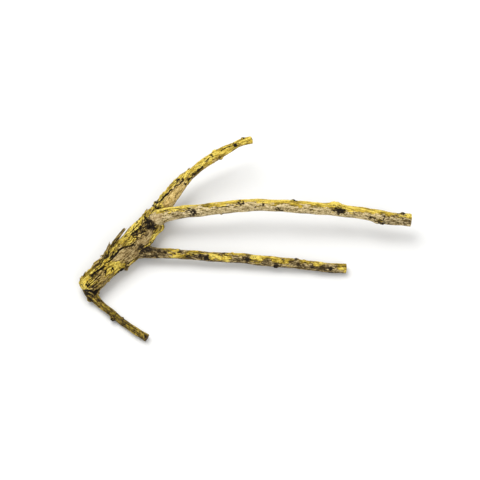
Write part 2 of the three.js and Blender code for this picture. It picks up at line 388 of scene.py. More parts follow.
# %% Marks on the limb
LIMB_CRACKS = [
    (0.9, 2.2, [(91.5, 275.5), (94.5, 272.5), (98, 269.8), (102, 267.3), (105, 266)]),
    (1.1, 1.8, [(94, 268), (97, 265.5), (101, 263.2), (104, 259.5), (107, 256), (109, 252.5)]),
    (1.0, 1.6, [(107, 261.5), (110, 260), (113, 257.5), (116, 254.5), (118, 251)]),
    (0.9, 2.0, [(118, 250.5), (121, 248.6), (124.5, 247), (128, 245.9), (132, 245.3), (134, 244)]),
    (0.9, 1.4, [(112.5, 255), (114, 250.5), (115.5, 247)]),
    (1.1, 2.2, [(131, 234.5), (135, 231.5), (139, 228), (142.5, 224.5), (145, 220.5)]),
    (0.8, 1.6, [(132.5, 236), (137, 234.3), (141, 232.8), (145.5, 231)]),
    (0.7, 1.4, [(139, 228.5), (143, 227), (146, 226)]),
    (0.6, 1.0, [(134, 237.5), (138, 237.6), (142, 238.4)]),
    (0.6, 1.0, [(135, 240.5), (138, 237.8)]),
    (1.2, 2.4, [(144, 216), (147, 219.5), (149, 223), (152, 227), (154.5, 228)]),
    (1.4, 2.3, [(83, 291.5), (87, 290.3), (91, 291), (95, 293), (98.5, 289.3)]),
    (0.7, 1.2, [(86, 284), (89, 286)]),
    (0.6, 0.8, [(92.5, 286.5), (96, 284), (99, 280.5)]),
    (0.6, 0.9, [(101, 276), (104, 273), (106, 271)]),
    (0.7, 1.0, [(111, 271), (112.5, 266)]),
    (0.8, 1.0, [(116, 264), (119, 267)]),
    (1.0, 1.4, [(126.5, 268), (121.5, 272), (116, 276.5), (111, 280.5)]),
    (0.8, 1.2, [(141, 217), (138, 221), (136.5, 224)]),
    (0.7, 1.2, [(137, 222.5), (134.5, 226), (133, 230)]),
    (0.6, 1.0, [(146, 213.5), (142.5, 218), (141, 223)]),
    (0.6, 0.9, [(77.5, 284.2), (80, 284.8), (83.5, 284.2)]),
    (0.5, 0.8, [(95, 279), (100, 275.2), (105, 271.5)]),
    (0.4, 0.6, [(99, 284.5), (105, 279.5), (110, 275)]),
    (0.4, 0.6, [(103, 286.5), (109, 281), (115, 275.5)]),
    (0.6, 1.3, [(105.3, 275.5), (105.6, 271.5), (107, 268.2), (110, 266.8)]),
    (0.6, 1.3, [(112.6, 267.5), (113.4, 270.5), (113, 274)]),
    (0.5, 1.0, [(120.8, 262.5), (122.5, 265.5), (121.8, 269)]),
]
LIMB_PITS = [
    (150, 226, 4.4, 3.4), (147.5, 222.5, 2.6, 1.5), (106.5, 256.5, 3, 1.6), (135.5, 231.5, 2.8, 1),
    (141.5, 227.5, 2.8, 1), (142, 246, 3, 1.2),
]
LIMB_BARE = [
    (116.5, 258.5, 4.5, 1.1), (127, 254, 9.5, 1), (133, 251, 7, 0.9), (121, 255.5, 5, 0.7),
    (137, 247, 5, 0.6), (137, 257, 6, 0.9), (143, 251, 5, 0.8), (130, 260, 4, 0.6),
    (146, 238, 8, 0.9), (150, 231, 6, 0.9), (141, 243, 6, 0.8), (138, 240, 4, 0.5),
    (113, 244, 5, -1), (124, 240, 8, -1), (118, 267, 7, -1.2), (82, 282, 12, -1),
    (133, 229, 8, -0.8), (152.5, 241, 4, -2), (155, 236, 4.5, -2.4), (157, 231, 3.5, -2),
]
LIMB_LICHEN = [
    (81, 282, 8, 0.75), (84, 276, 7, 0.5), (88, 271, 5, 0.45), (86, 288, 4, 0.6),
    (97.5, 267.5, 3, 0.9), (92, 272, 3, 0.8), (105, 262.5, 3, 0.5), (110, 258, 3, 0.5),
    (116.5, 258.5, 4.5, -1.2), (88, 291, 3, -1.2), (93, 291.5, 3, -1.2), (113, 250, 4, 0.5),
    (118, 269.5, 3.4, 1.6), (121, 265.5, 2.4, 0.8), (117.5, 266.5, 3.4, 1), (109, 269, 4, 0.8),
    (116, 246, 5, 0.4), (124, 239, 6, 1.1), (129, 234, 5, 1.2), (134, 226, 6, 1.5),
    (140, 219, 5, 1.4), (145, 212, 5, 1.1), (129, 243, 3, 0.5), (114, 264.3, 3, 0.9),
    (126, 254, 10, -1), (134, 250, 7, -0.9), (146, 238, 9, -0.9), (150, 231, 6, -0.8),
    (139, 244, 6, -0.6), (117.5, 267, 5, 0.9), (82, 277, 5, 0.5), (80, 286, 4, 0.6),
    (134, 222, 4, 0.6), (128, 230, 4, 0.6), (138.4, 231.2, 1.6, 1.2), (135.5, 238.5, 2.5, 0.5),
    (123, 247, 2.5, 0.4), (124, 243, 4, 0.5), (100, 276, 4.5, -0.8), (96, 279, 3.5, -0.5),
    (107, 281, 6, -0.5), (93, 285, 3, -0.3), (109.5, 271, 2.6, 0.7), (102, 285, 5, -0.4),
    (112, 277, 4, -0.3), (97, 264, 4, -0.8), (101, 260, 4, -0.6), (88, 280, 3.5, 0.35),
    (91, 283, 3, 0.3), (104, 285, 5, -0.3), (141, 226, 4, -1.2), (144, 221, 3, -1),
    (151, 221, 3, -1.6), (154.5, 224, 3, -1.6), (144.5, 214.5, 3, -0.5), (147, 226, 4, -1.5),
    (137, 231, 3, -0.9), (144, 230, 3, -1), (150, 243, 4, 1.5), (153, 238, 4.5, 2.2),
    (156, 234, 4.5, 2.2), (146, 247, 3, 0.8),
]
# Dark marks: stains and scars, and painted shade in the black gaps at the fork, along the limb's
# lower edge and where the twig leaves it.
LIMB_DARK = [
    (149.5, 226, 3.6, 1.5), (147.2, 221.8, 2.2, 1.2), (153.5, 228, 2.6, 1.2),
    (106.5, 256, 3.4, 1.1), (103, 259.5, 2.4, 0.7), (100, 262, 2.4, 0.5), (97, 264.5, 2.4, 0.5),
    (94.5, 266.5, 2, 0.3), (108.8, 252, 2.6, 0.8), (111, 248.5, 2, 0.7), (133.5, 233.5, 3.2, 1),
    (137.5, 230.5, 3.4, 0.75), (141.5, 227, 3.4, 0.6), (143.5, 222.5, 2.4, 0.6),
    (142.5, 231, 2.2, 0.6), (142, 248, 4, 0.9), (96, 284.5, 2.4, 0.3), (92.5, 286.5, 2, 0.5),
    (115.5, 253, 2.4, 0.7), (112.5, 256.5, 2.4, 0.6), (125.5, 268.2, 2.2, 1.1),
    (121.5, 271.8, 2.2, 1.1), (117, 275.2, 2.2, 1), (113, 278.3, 2, 0.9), (109, 281, 2, 0.9),
    (105, 284.5, 2, 0.9), (101, 288, 2, 0.9), (134, 245, 2, 0.8), (84, 291.5, 2.2, 1.3),
    (87.5, 290.8, 2.2, 1.3), (91, 291.3, 2.2, 1.3), (95, 292.5, 2.4, 1.3), (98, 290, 2, 1),
    (92, 275.2, 1.8, 1.3), (94.5, 272.6, 1.6, 1.1), (97, 270.7, 1.6, 1.1), (100, 268.8, 1.6, 1.1),
    (103, 267.2, 1.6, 0.9), (133, 225, 5, -0.9), (140, 216.5, 5, -0.9), (99, 277.5, 3, 0.3),
    (96, 274, 3, 0.25), (93, 278, 3, 0.2), (89, 285, 1.5, 0.9), (94, 287, 2.4, 0.5),
    (127, 254, 9, 0.25), (136, 249, 7, 0.2), (147, 226.5, 2.6, 0.9), (145.3, 218, 1.6, 1.2),
    (150.5, 220.8, 2.6, 1.3), (153.3, 224, 2.6, 1.3), (143.5, 214.5, 3, 0.4),
    (140.5, 219, 2.4, 0.35), (118, 266.5, 4, -1.3), (113.3, 269.5, 1.2, 1), (105.6, 272, 1.2, 0.9),
    (106.8, 268.8, 1.1, 0.7), (124, 264, 2.4, -0.6), (81, 286, 4, -0.5), (108, 277, 4, -0.4),
    (137, 235, 2.4, 0.4), (119.5, 273, 1.8, 0.9), (123.5, 269.5, 1.8, 0.9), (127.5, 262.5, 2, 0.5),
]
LIMB_CALM = [
    (104, 281, 7, 0.9), (97.5, 285.5, 5, 0.8), (110, 276, 6, 0.9), (115, 271, 4, 0.7),
    (109.5, 271, 3, 0.8), (118, 267, 4, 0.8), (123, 262, 4, 0.6), (98, 276, 5, 0.4),
]
LIMB_KNOTS = [(8, 118, 6, 2.4), (62, 175, 9, 1), (126, 180, 12, 1.35)]
print("marks on the limb:", sum(map(len, (LIMB_CRACKS, LIMB_BARE, LIMB_LICHEN, LIMB_DARK))))

# %% [markdown]
# Each kind of relief is a cloud, or the gaps between cells, stretched along the grain. The same
# numbers that shape the bark also colour it, so they are kept as masks: lichen, bare wood,
# darkness of dirt and painted shade, and what stands proud.

# %% Relief of the limb
# heights in mm
BARK_PLATE, BARK_LAYERS, BARK_LUMPS, FISSURE_DEPTH = 1.5, 0.8, 0.2, 0.9
BARK_FIBRES, CRUST_GRAINS, WOOD_FIBRES, WOOD_WAVES = 0.1, 0.35, 0.18, 0.35
CALMED = 0.65  # share of the relief that a calm plate lacks
TORN_START, TORN_WANDER, TORN_DEPTH = 7.0, 3.2, 3.2  # near the upper end the bark is torn off
LIMB_SWELL = [(3, 70, 0.4, 0.6)]
BRANCH_WRINKLES = [(5, 47, 0.0, 0.25), (3, -29, 1.7, 0.25)]
BACK_AND_UP = np.array([-0.35, 0.72, 0.6])  # the side that faces the light, where lichen thrives


def wave_sum(waves, form):
    """Sum of height * cos(crests * turn + 2 pi * along / pitch + phase), as in the solids."""
    return sum(
        height * np.cos(crests * form.turn + 2 * np.pi * form.along / pitch + phase)
        for crests, pitch, phase, height in waves
    )


def lichen_on(form, marks, evenly, favour):
    """Amount of lichen: what grows evenly, more on the lit side, in drifts along the grain, and
    as the marks say. Away from the camera broad gaps leave bark between the drifts."""
    lit = form.out @ BACK_AND_UP
    drift = 0.42 * grown(form, 14, 5, 31, 3) + 0.26 * grown(form, 9, 1.5, 35)
    away = ramp(-(form.out @ TO_CAMERA), 0.0, 0.5)
    gaps = away * (0.25 + 0.9 * grown(form, 26, 9, 38, 3))
    amount = evenly + favour * lit + drift - gaps + 0.8 * patches(form, marks, 0.5)
    return np.clip(amount, 0, 1.4)


def stains_and_shade(form, marks):
    """Darkness at marks, finer and more ragged than other patches: stains and scars, and painted
    shade where a mark lies in a crevice, a joint or under an edge.
    """
    return 0.85 * patches(form, marks, ragged=0.8, grit=1.3)


def underside_grime_and_shade(form):
    """Darkening on the side near the ground: painted shade, with some soil dirt there too."""
    return 0.45 * ramp(-form.out[..., 2], 0.1, 0.6)


def limb_relief(form):
    """Height of the bark in mm, and the masks that colour it. Plates are where a stretched cloud
    is high, their layers are terraces, and fissures follow the borders of stretched cells. Bare
    wood lies lower than bark, and cracks, pits and the torn end go down from either."""
    plate = ramp(grown(form, 34, 6, 11, 3), -0.22, 0.0)
    layers = terraces(0.5 + 0.5 * grown(form, 32, 4.5, 13), 3)
    lumps = grown(form, 5.5, 1.8, 14, 3)
    fibres = grown(form, 11, 0.8, 15)
    bend = np.stack([grown(form, 6, 6, seed) for seed in (16, 17, 18)], axis=-1)
    gap = cell_gap((form.grain + 1.2 * bend) / [30, 4.8, 4.8], 19)
    fissures = 1 - ramp(gap, 0.02, 0.16)
    lichen = lichen_on(form, LIMB_LICHEN, evenly=0.46, favour=0.2)
    bare_sum = patches(form, LIMB_BARE) + 0.45 * grown(form, 30, 10, 21, 3) - 0.1
    bare = ramp(bare_sum, 0.38, 0.5)
    crust = np.maximum(grown(form, 1.9, 1.5, 22), 0)
    calm = np.clip(patches(form, LIMB_CALM, 0.2), 0, 1)
    bark = BARK_PLATE * (plate - 0.5) + BARK_LAYERS * (layers - 0.5) + BARK_LUMPS * lumps
    bark = (bark - FISSURE_DEPTH * fissures) * (1 - CALMED * calm)
    bark = bark + BARK_FIBRES * fibres + CRUST_GRAINS * crust * lichen
    wood = -0.5 * BARK_PLATE + WOOD_FIBRES * fibres + WOOD_WAVES * grown(form, 20, 4, 23)
    pits = sum(
        depth * np.exp(-(from_spot(form, (across, down)) / radius) ** 4)
        for across, down, radius, depth in LIMB_PITS
    )
    split = cracks(form, LIMB_CRACKS)
    edge = form.length - TORN_START + TORN_WANDER * grown(form, 500, 3.5, 24)
    torn = TORN_DEPTH * ramp(form.along, edge, edge + 1.0)
    height = wave_sum(LIMB_SWELL, form) + bark + (wood - bark) * bare
    height = height + knots(form, LIMB_KNOTS) - split - pits - torn
    sunk = np.clip(hollowness(height) / 0.55, 0, 1)
    # Painted shade darkens the hollows, the cracks and the underside; the marks add stains and
    # painted shadow.
    dark = 0.8 * sunk + ramp(split, 0.3, 1.0) + stains_and_shade(form, LIMB_DARK) + 0.6 * underside_grime_and_shade(form)
    raised = np.clip(-hollowness(height) / 0.6, 0, 1)
    lichen = lichen * (1 - 0.85 * bare)
    return height, dict(lichen=lichen, bare=bare, dark=np.clip(dark, 0, 1.2), raised=raised)


limb.height, limb.masks = limb_relief(limb)
print("limb bark from", limb.height.min().round(2), "to", limb.height.max().round(2), "mm")

# %% [markdown]
# The grid becomes a mesh: each ring is joined to the next with four-sided faces, and a fan closes
# each end. The masks travel with the mesh as attributes, which the materials read.

# %% From grid to mesh
BARK_RIM = 0.88  # a cut face is wood out to this share of its radius, then bark
SHARP = math.radians(50)  # corners sharper than this are not smoothed over


def store(mesh, name, values, kind="FLOAT", field="value"):
    """Puts one value, or one vector, a point on a mesh as an attribute."""
    layer = mesh.attributes.new(name, kind, "POINT")
    layer.data.foreach_set(field, np.asarray(values, np.float32).ravel())


def mesh_piece(name, points, faces, masks, grain):
    """A mesh object of points in the drawing's mm and faces of three or four corners. Its place
    is in its mesh, and the object stays at the origin."""
    points = (points - FOOTPRINT) * MM
    points[:, 2] = np.maximum(points[:, 2], 0)
    sizes = np.concatenate([np.full(len(part), part.shape[1]) for part in faces])
    corners = np.concatenate([part.ravel() for part in faces])
    mesh = bpy.data.meshes.new(name)
    mesh.vertices.add(len(points))
    mesh.vertices.foreach_set("co", points.astype(np.float32).ravel())
    mesh.loops.add(len(corners))
    mesh.loops.foreach_set("vertex_index", corners.astype(np.int32))
    mesh.polygons.add(len(sizes))
    starts = np.append(0, np.cumsum(sizes)[:-1])
    mesh.polygons.foreach_set("loop_start", starts.astype(np.int32))
    mesh.update(calc_edges=True)
    mesh.validate()
    mesh.polygons.foreach_set("use_smooth", np.ones(len(mesh.polygons), bool))
    mesh.set_sharp_from_angle(angle=SHARP)
    for mask, values in masks.items():
        store(mesh, mask, values)
    store(mesh, "grain", grain * MM, "FLOAT_VECTOR", "vector")
    piece = bpy.data.objects.new(name, mesh)
    bpy.context.scene.collection.objects.link(piece)
    return piece


def tube_faces(rows, around):
    """Faces of a closed tube of rings: quads between rings, and a fan at each end round the two
    points that follow the grid."""
    ring = np.arange(rows * around).reshape(rows, around)
    after = np.roll(ring, -1, axis=1)
    quads = np.stack([ring[:-1], after[:-1], after[1:], ring[1:]], axis=-1).reshape(-1, 4)
    first = np.full(around, rows * around)
    start = np.stack([first, after[0], ring[0]], axis=-1)
    end = np.stack([first + 1, ring[-1], after[-1]], axis=-1)
    return [quads, start, end]


def tube_piece(form, name):
    """The form with its relief, as a mesh: base + height * shrink * out, with ripples of the
    blade on a cut face."""
    ripple = 0.05 * cloud(form.base / 1.1, 41) * form.face
    shaped = form.base + (form.height * form.shrink)[..., None] * form.out
    form.shaped = shaped + ripple[..., None] * form.ahead
    rows, around = form.base.shape[:2]
    points = np.vstack([form.shaped.reshape(-1, 3), form.tips])
    tip_grain = [[form.along[end, 0], 0, 0] for end in (0, -1)]
    grain = np.vstack([form.grain.reshape(-1, 3), tip_grain])
    masks = {
        key: np.append(value.ravel(), [value[0].mean(), value[-1].mean()])
        for key, value in form.masks.items()
    }
    wood_face = form.face * (form.shrink < BARK_RIM) + 0 * form.turn
    masks["cut"] = np.append(wood_face.ravel(), form.face[[0, -1], 0])
    piece = mesh_piece(name, points, tube_faces(rows, around), masks, grain)
    print(f"{name}: {len(piece.data.polygons)} faces, {form.length:.0f} mm long")
    return piece


limb_skin = tube_piece(limb, "limb_skin")

# %% [markdown]
# The four branches have thinner bark: wrinkles along the grain, small lumps, and knots where buds
# and twigs sat. Where a branch leaves the limb it swells into a collar, which grows with nearness
# to the limb's own surface.

# %% Relief of the branches
COLLAR_REACH, COLLAR_SPAN = 5.0, 70.0  # mm in which a collar fades, and mm of branch it may be on
CREASE_WIDTH, CREASE_SHADE = 0.9, 0.5  # painted shade in the crease where a branch leaves the limb
LIMB_BODY = np.linspace(8, limb.length - 11, 160)  # places along the limb, short of its ends


def limb_nearness(form):
    """Distance in mm outside the limb's round form, for rings near the branch's start."""
    rows = form.along[:, 0] < COLLAR_SPAN
    heart, _, _, _, radius = heart_frame(PLANS["limb"], LIMB_BODY)
    away = np.full(form.base.shape[:2], np.inf)
    gap = form.base[rows][:, :, None] - heart[None, None]
    away[rows] = (np.linalg.norm(gap, axis=-1) - radius).min(axis=-1)
    return np.maximum(away, 0)


def branch_relief(form, look):
    """Height of a branch's bark in mm and its masks. Ridges run with the grain, lumps are short,
    and the thin bark is worn away where the bare patches say."""
    seed = look["seed"]
    ridges = grown(form, 18, 2.4, 51 + seed)
    lumps = grown(form, 3.0, 1.6, 52 + seed, 3)
    fibres = grown(form, 10, 0.6, 53 + seed)
    lichen = lichen_on(form, look["lichen"], look["evenly"], look["favour"])
    bare_sum = patches(form, look["bare"]) + look["worn"] * grown(form, 26, 5, 54, 3)
    bare = ramp(bare_sum, 0.4, 0.52)
    crust = np.maximum(grown(form, 1.9, 1.4, 55 + seed), 0)
    bark = look["ridge"] * ridges + look["lump"] * lumps + 0.06 * fibres + 0.32 * crust * lichen
    wood = -look["bark"] + 0.10 * fibres + 0.12 * ridges
    away = limb_nearness(form)
    collar = look["collar"] * np.exp(-away / COLLAR_REACH)
    split = cracks(form, look["cracks"])
    height = wave_sum(BRANCH_WRINKLES, form) + bark + (wood - bark) * bare
    height = height + knots(form, look["knots"]) + collar - split
    sunk = np.clip(hollowness(height, 3) / 0.3, 0, 1)
    crease_shade = CREASE_SHADE * np.exp(-(away / CREASE_WIDTH) ** 2)
    # Painted shade darkens hollows, cracks, the crease at the limb and the underside; the marks add
    # stains and painted shade.
    dark = 0.8 * sunk * (1 - 0.7 * bare) + ramp(split, 0.2, 0.7) + crease_shade
    dark = dark + underside_grime_and_shade(form) + stains_and_shade(form, look["dark"])
    raised = np.clip(-hollowness(height, 3) / 0.35, 0, 1)
    lichen = lichen * (1 - 0.9 * bare)
    return height, dict(lichen=lichen, bare=bare, dark=np.clip(dark, 0, 1.2), raised=raised)


def branch(name, look, **grid):
    """A branch's form with its relief, and the skin made of it."""
    form = bare_form(name, **grid)
    form.height, form.masks = branch_relief(form, look)
    return form, tube_piece(form, name + "_skin")


print(f"collars fade within {COLLAR_REACH} mm of the limb, which is {limb.length:.0f} mm long")

# %% [markdown]
# Upper branch: almost all yellow. Its thick lower part still has a strip of flaking bark on the
# left, above a black step, and is smooth and tan on the right.

# %% Upper branch
UPPER_LOOK = dict(
    seed=0, ridge=0.26, lump=0.17, bark=0.75, collar=1.2, evenly=0.72, favour=0.22, worn=0.12,
    knots=[
        (6, -78, 4.5, 2.2), (17, -74, 5, 1.5), (42, -64, 6, 1.5), (30, -72, 5, 1.4),
        (101, -58, 6, 2.2), (104, 112, 6, 2.2), (138, -62, 3.6, 1.6),
    ],
    lichen=[
        (172, 193, 6, -0.5), (177, 187, 5, -0.5), (181, 182, 4, -0.4), (168, 199, 5, -0.4),
        (163, 193, 3, 0.4), (172, 184, 3, 0.5), (176, 200, 4, -0.6), (181, 193, 5, -0.6),
        (185, 187, 4, -0.5), (193, 179, 4, -0.4), (203, 170, 3, -0.4), (215, 161, 3, -0.3),
    ],
    bare=[
        (170, 196, 6, 1), (176, 190, 6, 1), (181, 185, 5, 1), (166, 202, 5, 0.9), (176, 199, 5, 1),
        (182, 191, 5, 1), (172, 203, 5, 1), (168, 208, 4, 0.8), (184, 187, 4, 0.9),
    ],
    dark=[
        (156.5, 202.6, 3, 1.5), (162.5, 196.8, 1.7, 0.8), (178.5, 179.3, 2.2, 1.2),
        (195, 174.5, 2.6, 0.8), (161, 198.5, 1.5, 0.6), (164, 195, 1.4, 0.5), (177.5, 180, 2, 1),
        (182.6, 178.8, 1.4, 0.8), (175, 187.3, 1.4, 0.7), (159, 209, 2.4, 0.6),
        (202, 168, 1.8, 0.7), (193, 174.5, 2, 0.6), (211.3, 155.2, 1.8, 1.3), (166, 194, 1.5, 0.6),
        (154, 207, 2.4, 0.6), (163, 200, 3, 0.35), (170, 190, 4, 0.35), (176, 184, 4, 0.3),
        (160, 206, 3, 0.4), (188, 181, 3, 0.25), (206, 162, 3, 0.25), (207.4, 160, 1.3, 0.5),
        (235.5, 145.5, 1.8, 0.9), (229.5, 146.3, 1.4, 0.5), (220, 159, 1.3, 0.5),
        (244, 137.7, 2, 1.3), (185.5, 184, 1.8, 0.9), (201.5, 168, 2.2, 1), (198.5, 171, 2, 0.8),
        (192, 177.5, 2, 0.8), (188.5, 180.3, 2, 0.7), (235.6, 144.8, 2.2, 1.2),
        (252.3, 139.5, 2, 0.5), (183, 179.5, 1.6, 0.8), (170, 211, 2, 0.4),
    ],
    cracks=[(0.7, 1.1, [(153, 210.5), (156.5, 205), (160.8, 200.5)]),
            (1.1, 1.5, [(160.8, 200.5), (164.3, 196.5), (167.5, 193.5)]),
            (0.7, 1.0, [(167.5, 193.5), (170, 190), (173.5, 189.2),
                        (175.5, 185.8), (179.3, 184.4), (182, 181)]),
            (0.6, 0.9, [(182.5, 181), (185.5, 184.5)]),
            (0.9, 0.6, [(188, 180), (191, 177.5), (195, 173.5), (199, 170), (202, 167.5)]),
            (0.6, 0.5, [(205.5, 161.8), (207.5, 159.5), (209.5, 157.5)]),
            (0.7, 0.7, [(221, 150.4), (225.5, 147.8), (231, 145.8), (235.5, 144.8)]),
            (0.5, 0.5, [(210.5, 155.5), (213.5, 156.5), (216, 155)]),
            (0.5, 0.5, [(219.5, 152.5), (219.8, 156), (219, 159.5)]),
            (0.6, 0.9, [(155, 211), (158.5, 208.5), (161, 208)])],
)
upper, upper_skin = branch(
    "upper_branch", UPPER_LOOK, rows=440, around=130, start=("cut", 0.5), end=("dome", 2.0)
)

# %% [markdown]
# Middle branch: the longest. Yellow lichen lies along its back like a stripe, and the front is
# smooth pinkish tan bark with dark scars, each one where a twig or a bud came away.

# %% Middle branch
MIDDLE_LOOK = dict(
    seed=100, ridge=0.16, lump=0.09, bark=0.35, collar=0.7, evenly=0.22, favour=0.72, worn=0.15,
    knots=[
        (64, 64, 8, 0.9), (91, 118, 3.4, 1.4), (114, 8, 6, 1), (178, -56, 5, 1.8),
        (229, -56, 13, 1.6), (232, 40, 7.5, 0.9), (281, 112, 8, 1.6), (287, 124, 5, 1.6),
        (310, -48, 5, 1.8),
    ],
    lichen=[
        (165, 207, 5, 0.3), (337, 204, 6, 0.5), (380, 221, 4, 0.6), (350, 209, 6, 0.3),
        (170, 216, 8, -0.3), (200, 211, 8, -0.3), (250, 206, 10, -0.2), (267, 200, 5, 0.3),
        (230, 201, 6, 0.2), (409, 215, 3, 0.6), (154, 215, 4, -0.8), (158, 210.5, 3, 0.8),
        (163, 209.8, 3, 0.7), (168, 209.3, 3, 0.6), (175, 209, 4, 0.4), (350, 206, 6, 0.3),
        (362, 208.5, 6, 0.4), (376, 211, 6, 0.4), (390, 214, 6, 0.4), (345, 205, 5, 0.3),
        (375, 218, 5, -0.5), (395, 221, 8, -0.7), (405, 222, 6, -0.7), (355, 213.5, 5, -0.3),
        (381, 217.3, 3, -0.5), (199, 209.5, 3, -0.6), (206, 209.3, 3, -0.6), (213, 209, 3, -0.6),
        (220, 208.8, 3, -0.6), (227, 208.3, 3, -0.5), (234, 207, 3, -0.4),
    ],
    bare=[
        (151, 218.5, 4.5, 1.2), (155.5, 218.5, 4.5, 1.1), (160, 217.5, 4, 0.8),
    ],
    dark=[
        (145.5, 217.5, 2.2, 1.3), (147.5, 221.5, 2.4, 1.4), (151, 225.5, 2.6, 1.3),
        (155.5, 227, 2, 1), (155, 217.5, 6, -0.4), (163, 215, 5, -0.2), (156, 212, 3, 0.4),
        (161, 211, 2.4, 0.5), (166, 210.3, 2.4, 0.4), (151, 214.5, 2.4, 0.4),
        (153, 222.5, 2.6, 0.3), (189, 209, 1.8, 0.9), (193, 209.6, 1.8, 1),
        (194.6, 212.6, 2.4, 1.3), (192.8, 215.2, 1.8, 1), (190, 215, 1.8, 0.9), (187, 212, 2, 0.5),
        (191.5, 212.5, 1.6, 0.7), (238.2, 202.6, 1.7, 1.3), (243.4, 201.4, 1.4, 1),
        (240.6, 204.4, 1.5, 1), (242.8, 203.6, 1.3, 0.8), (240, 200.8, 1.2, 0.7),
        (279.5, 210.2, 2.2, 1.1), (276, 209, 2.4, 0.6), (295.2, 199.5, 2.2, 1.2),
        (339.5, 210, 3.7, 0.9), (343, 211, 2.4, 0.9), (332, 209.2, 2.2, 0.6),
        (310.8, 210.5, 1.4, 0.3), (353, 215.4, 1.4, 0.4), (361.5, 213.7, 1.2, 0.5),
        (352, 211.5, 5, -0.3), (362, 213.5, 5, -0.3), (310, 207, 8, -0.2), (370.6, 217.6, 1.6, 0.8),
        (381.5, 223, 2.2, 0.8), (403, 213.8, 3, 1), (371, 217.6, 1.4, 0.5),
        (374.5, 219.8, 1.8, 0.7), (384.5, 216, 1.5, 0.4), (379, 221.5, 2.5, 0.8),
        (355, 214.8, 1.4, 0.5), (366, 216, 1.5, 0.6), (310, 210.3, 1.8, 0.5),
        # The broad, weak marks along the lower side of the right end, from x 383 to 409, are
        # painted shade.
        (304, 209.6, 1.4, 0.4), (282.5, 210.8, 1.6, 0.9), (388, 219.8, 5, 0.38),
        (396, 221.5, 6, 0.38), (404, 223, 6, 0.38), (409, 222.5, 5, 0.4), (383, 222.5, 4, 0.45),
        (341, 210.4, 2.7, 1.2), (336, 209.8, 2.6, 0.7), (172, 216, 6, 0.2), (182, 216, 5, 0.25),
        (171, 210.5, 2.4, 0.3), (178, 210.5, 3, 0.3), (294, 199, 2.6, 1.3), (370, 213, 2, 0.3),
        (263.4, 204.7, 1.5, 1.2), (255.4, 207, 1.2, 0.8), (215, 215, 1.4, 0.8),
        (222.3, 213.6, 1.2, 0.7), (216, 206.7, 1.5, 0.4),
    ],
    cracks=[(0.5, 0.5, [(186, 207.8), (190, 208.4), (194, 211.5), (196, 214)]),
            (0.6, 0.6, [(203, 206.6), (211, 206.9), (219, 207.2), (226, 206.8), (233, 205.6)]),
            (0.5, 0.4, [(163, 211), (170, 208.8), (178, 208), (185, 207.6)]),
            (0.5, 0.5, [(237, 204), (241, 204.3), (243.5, 202.5)])],
)
middle, middle_skin = branch(
    "middle_branch", MIDDLE_LOOK, rows=840, around=112, start=("cut", 0.5), end=("cut", 1.0)
)

# %% [markdown]
# Lower branch: dark olive-brown bark. The lichen on it is patchy, with clear edges, and a bright
# ring of it covers the cut end.

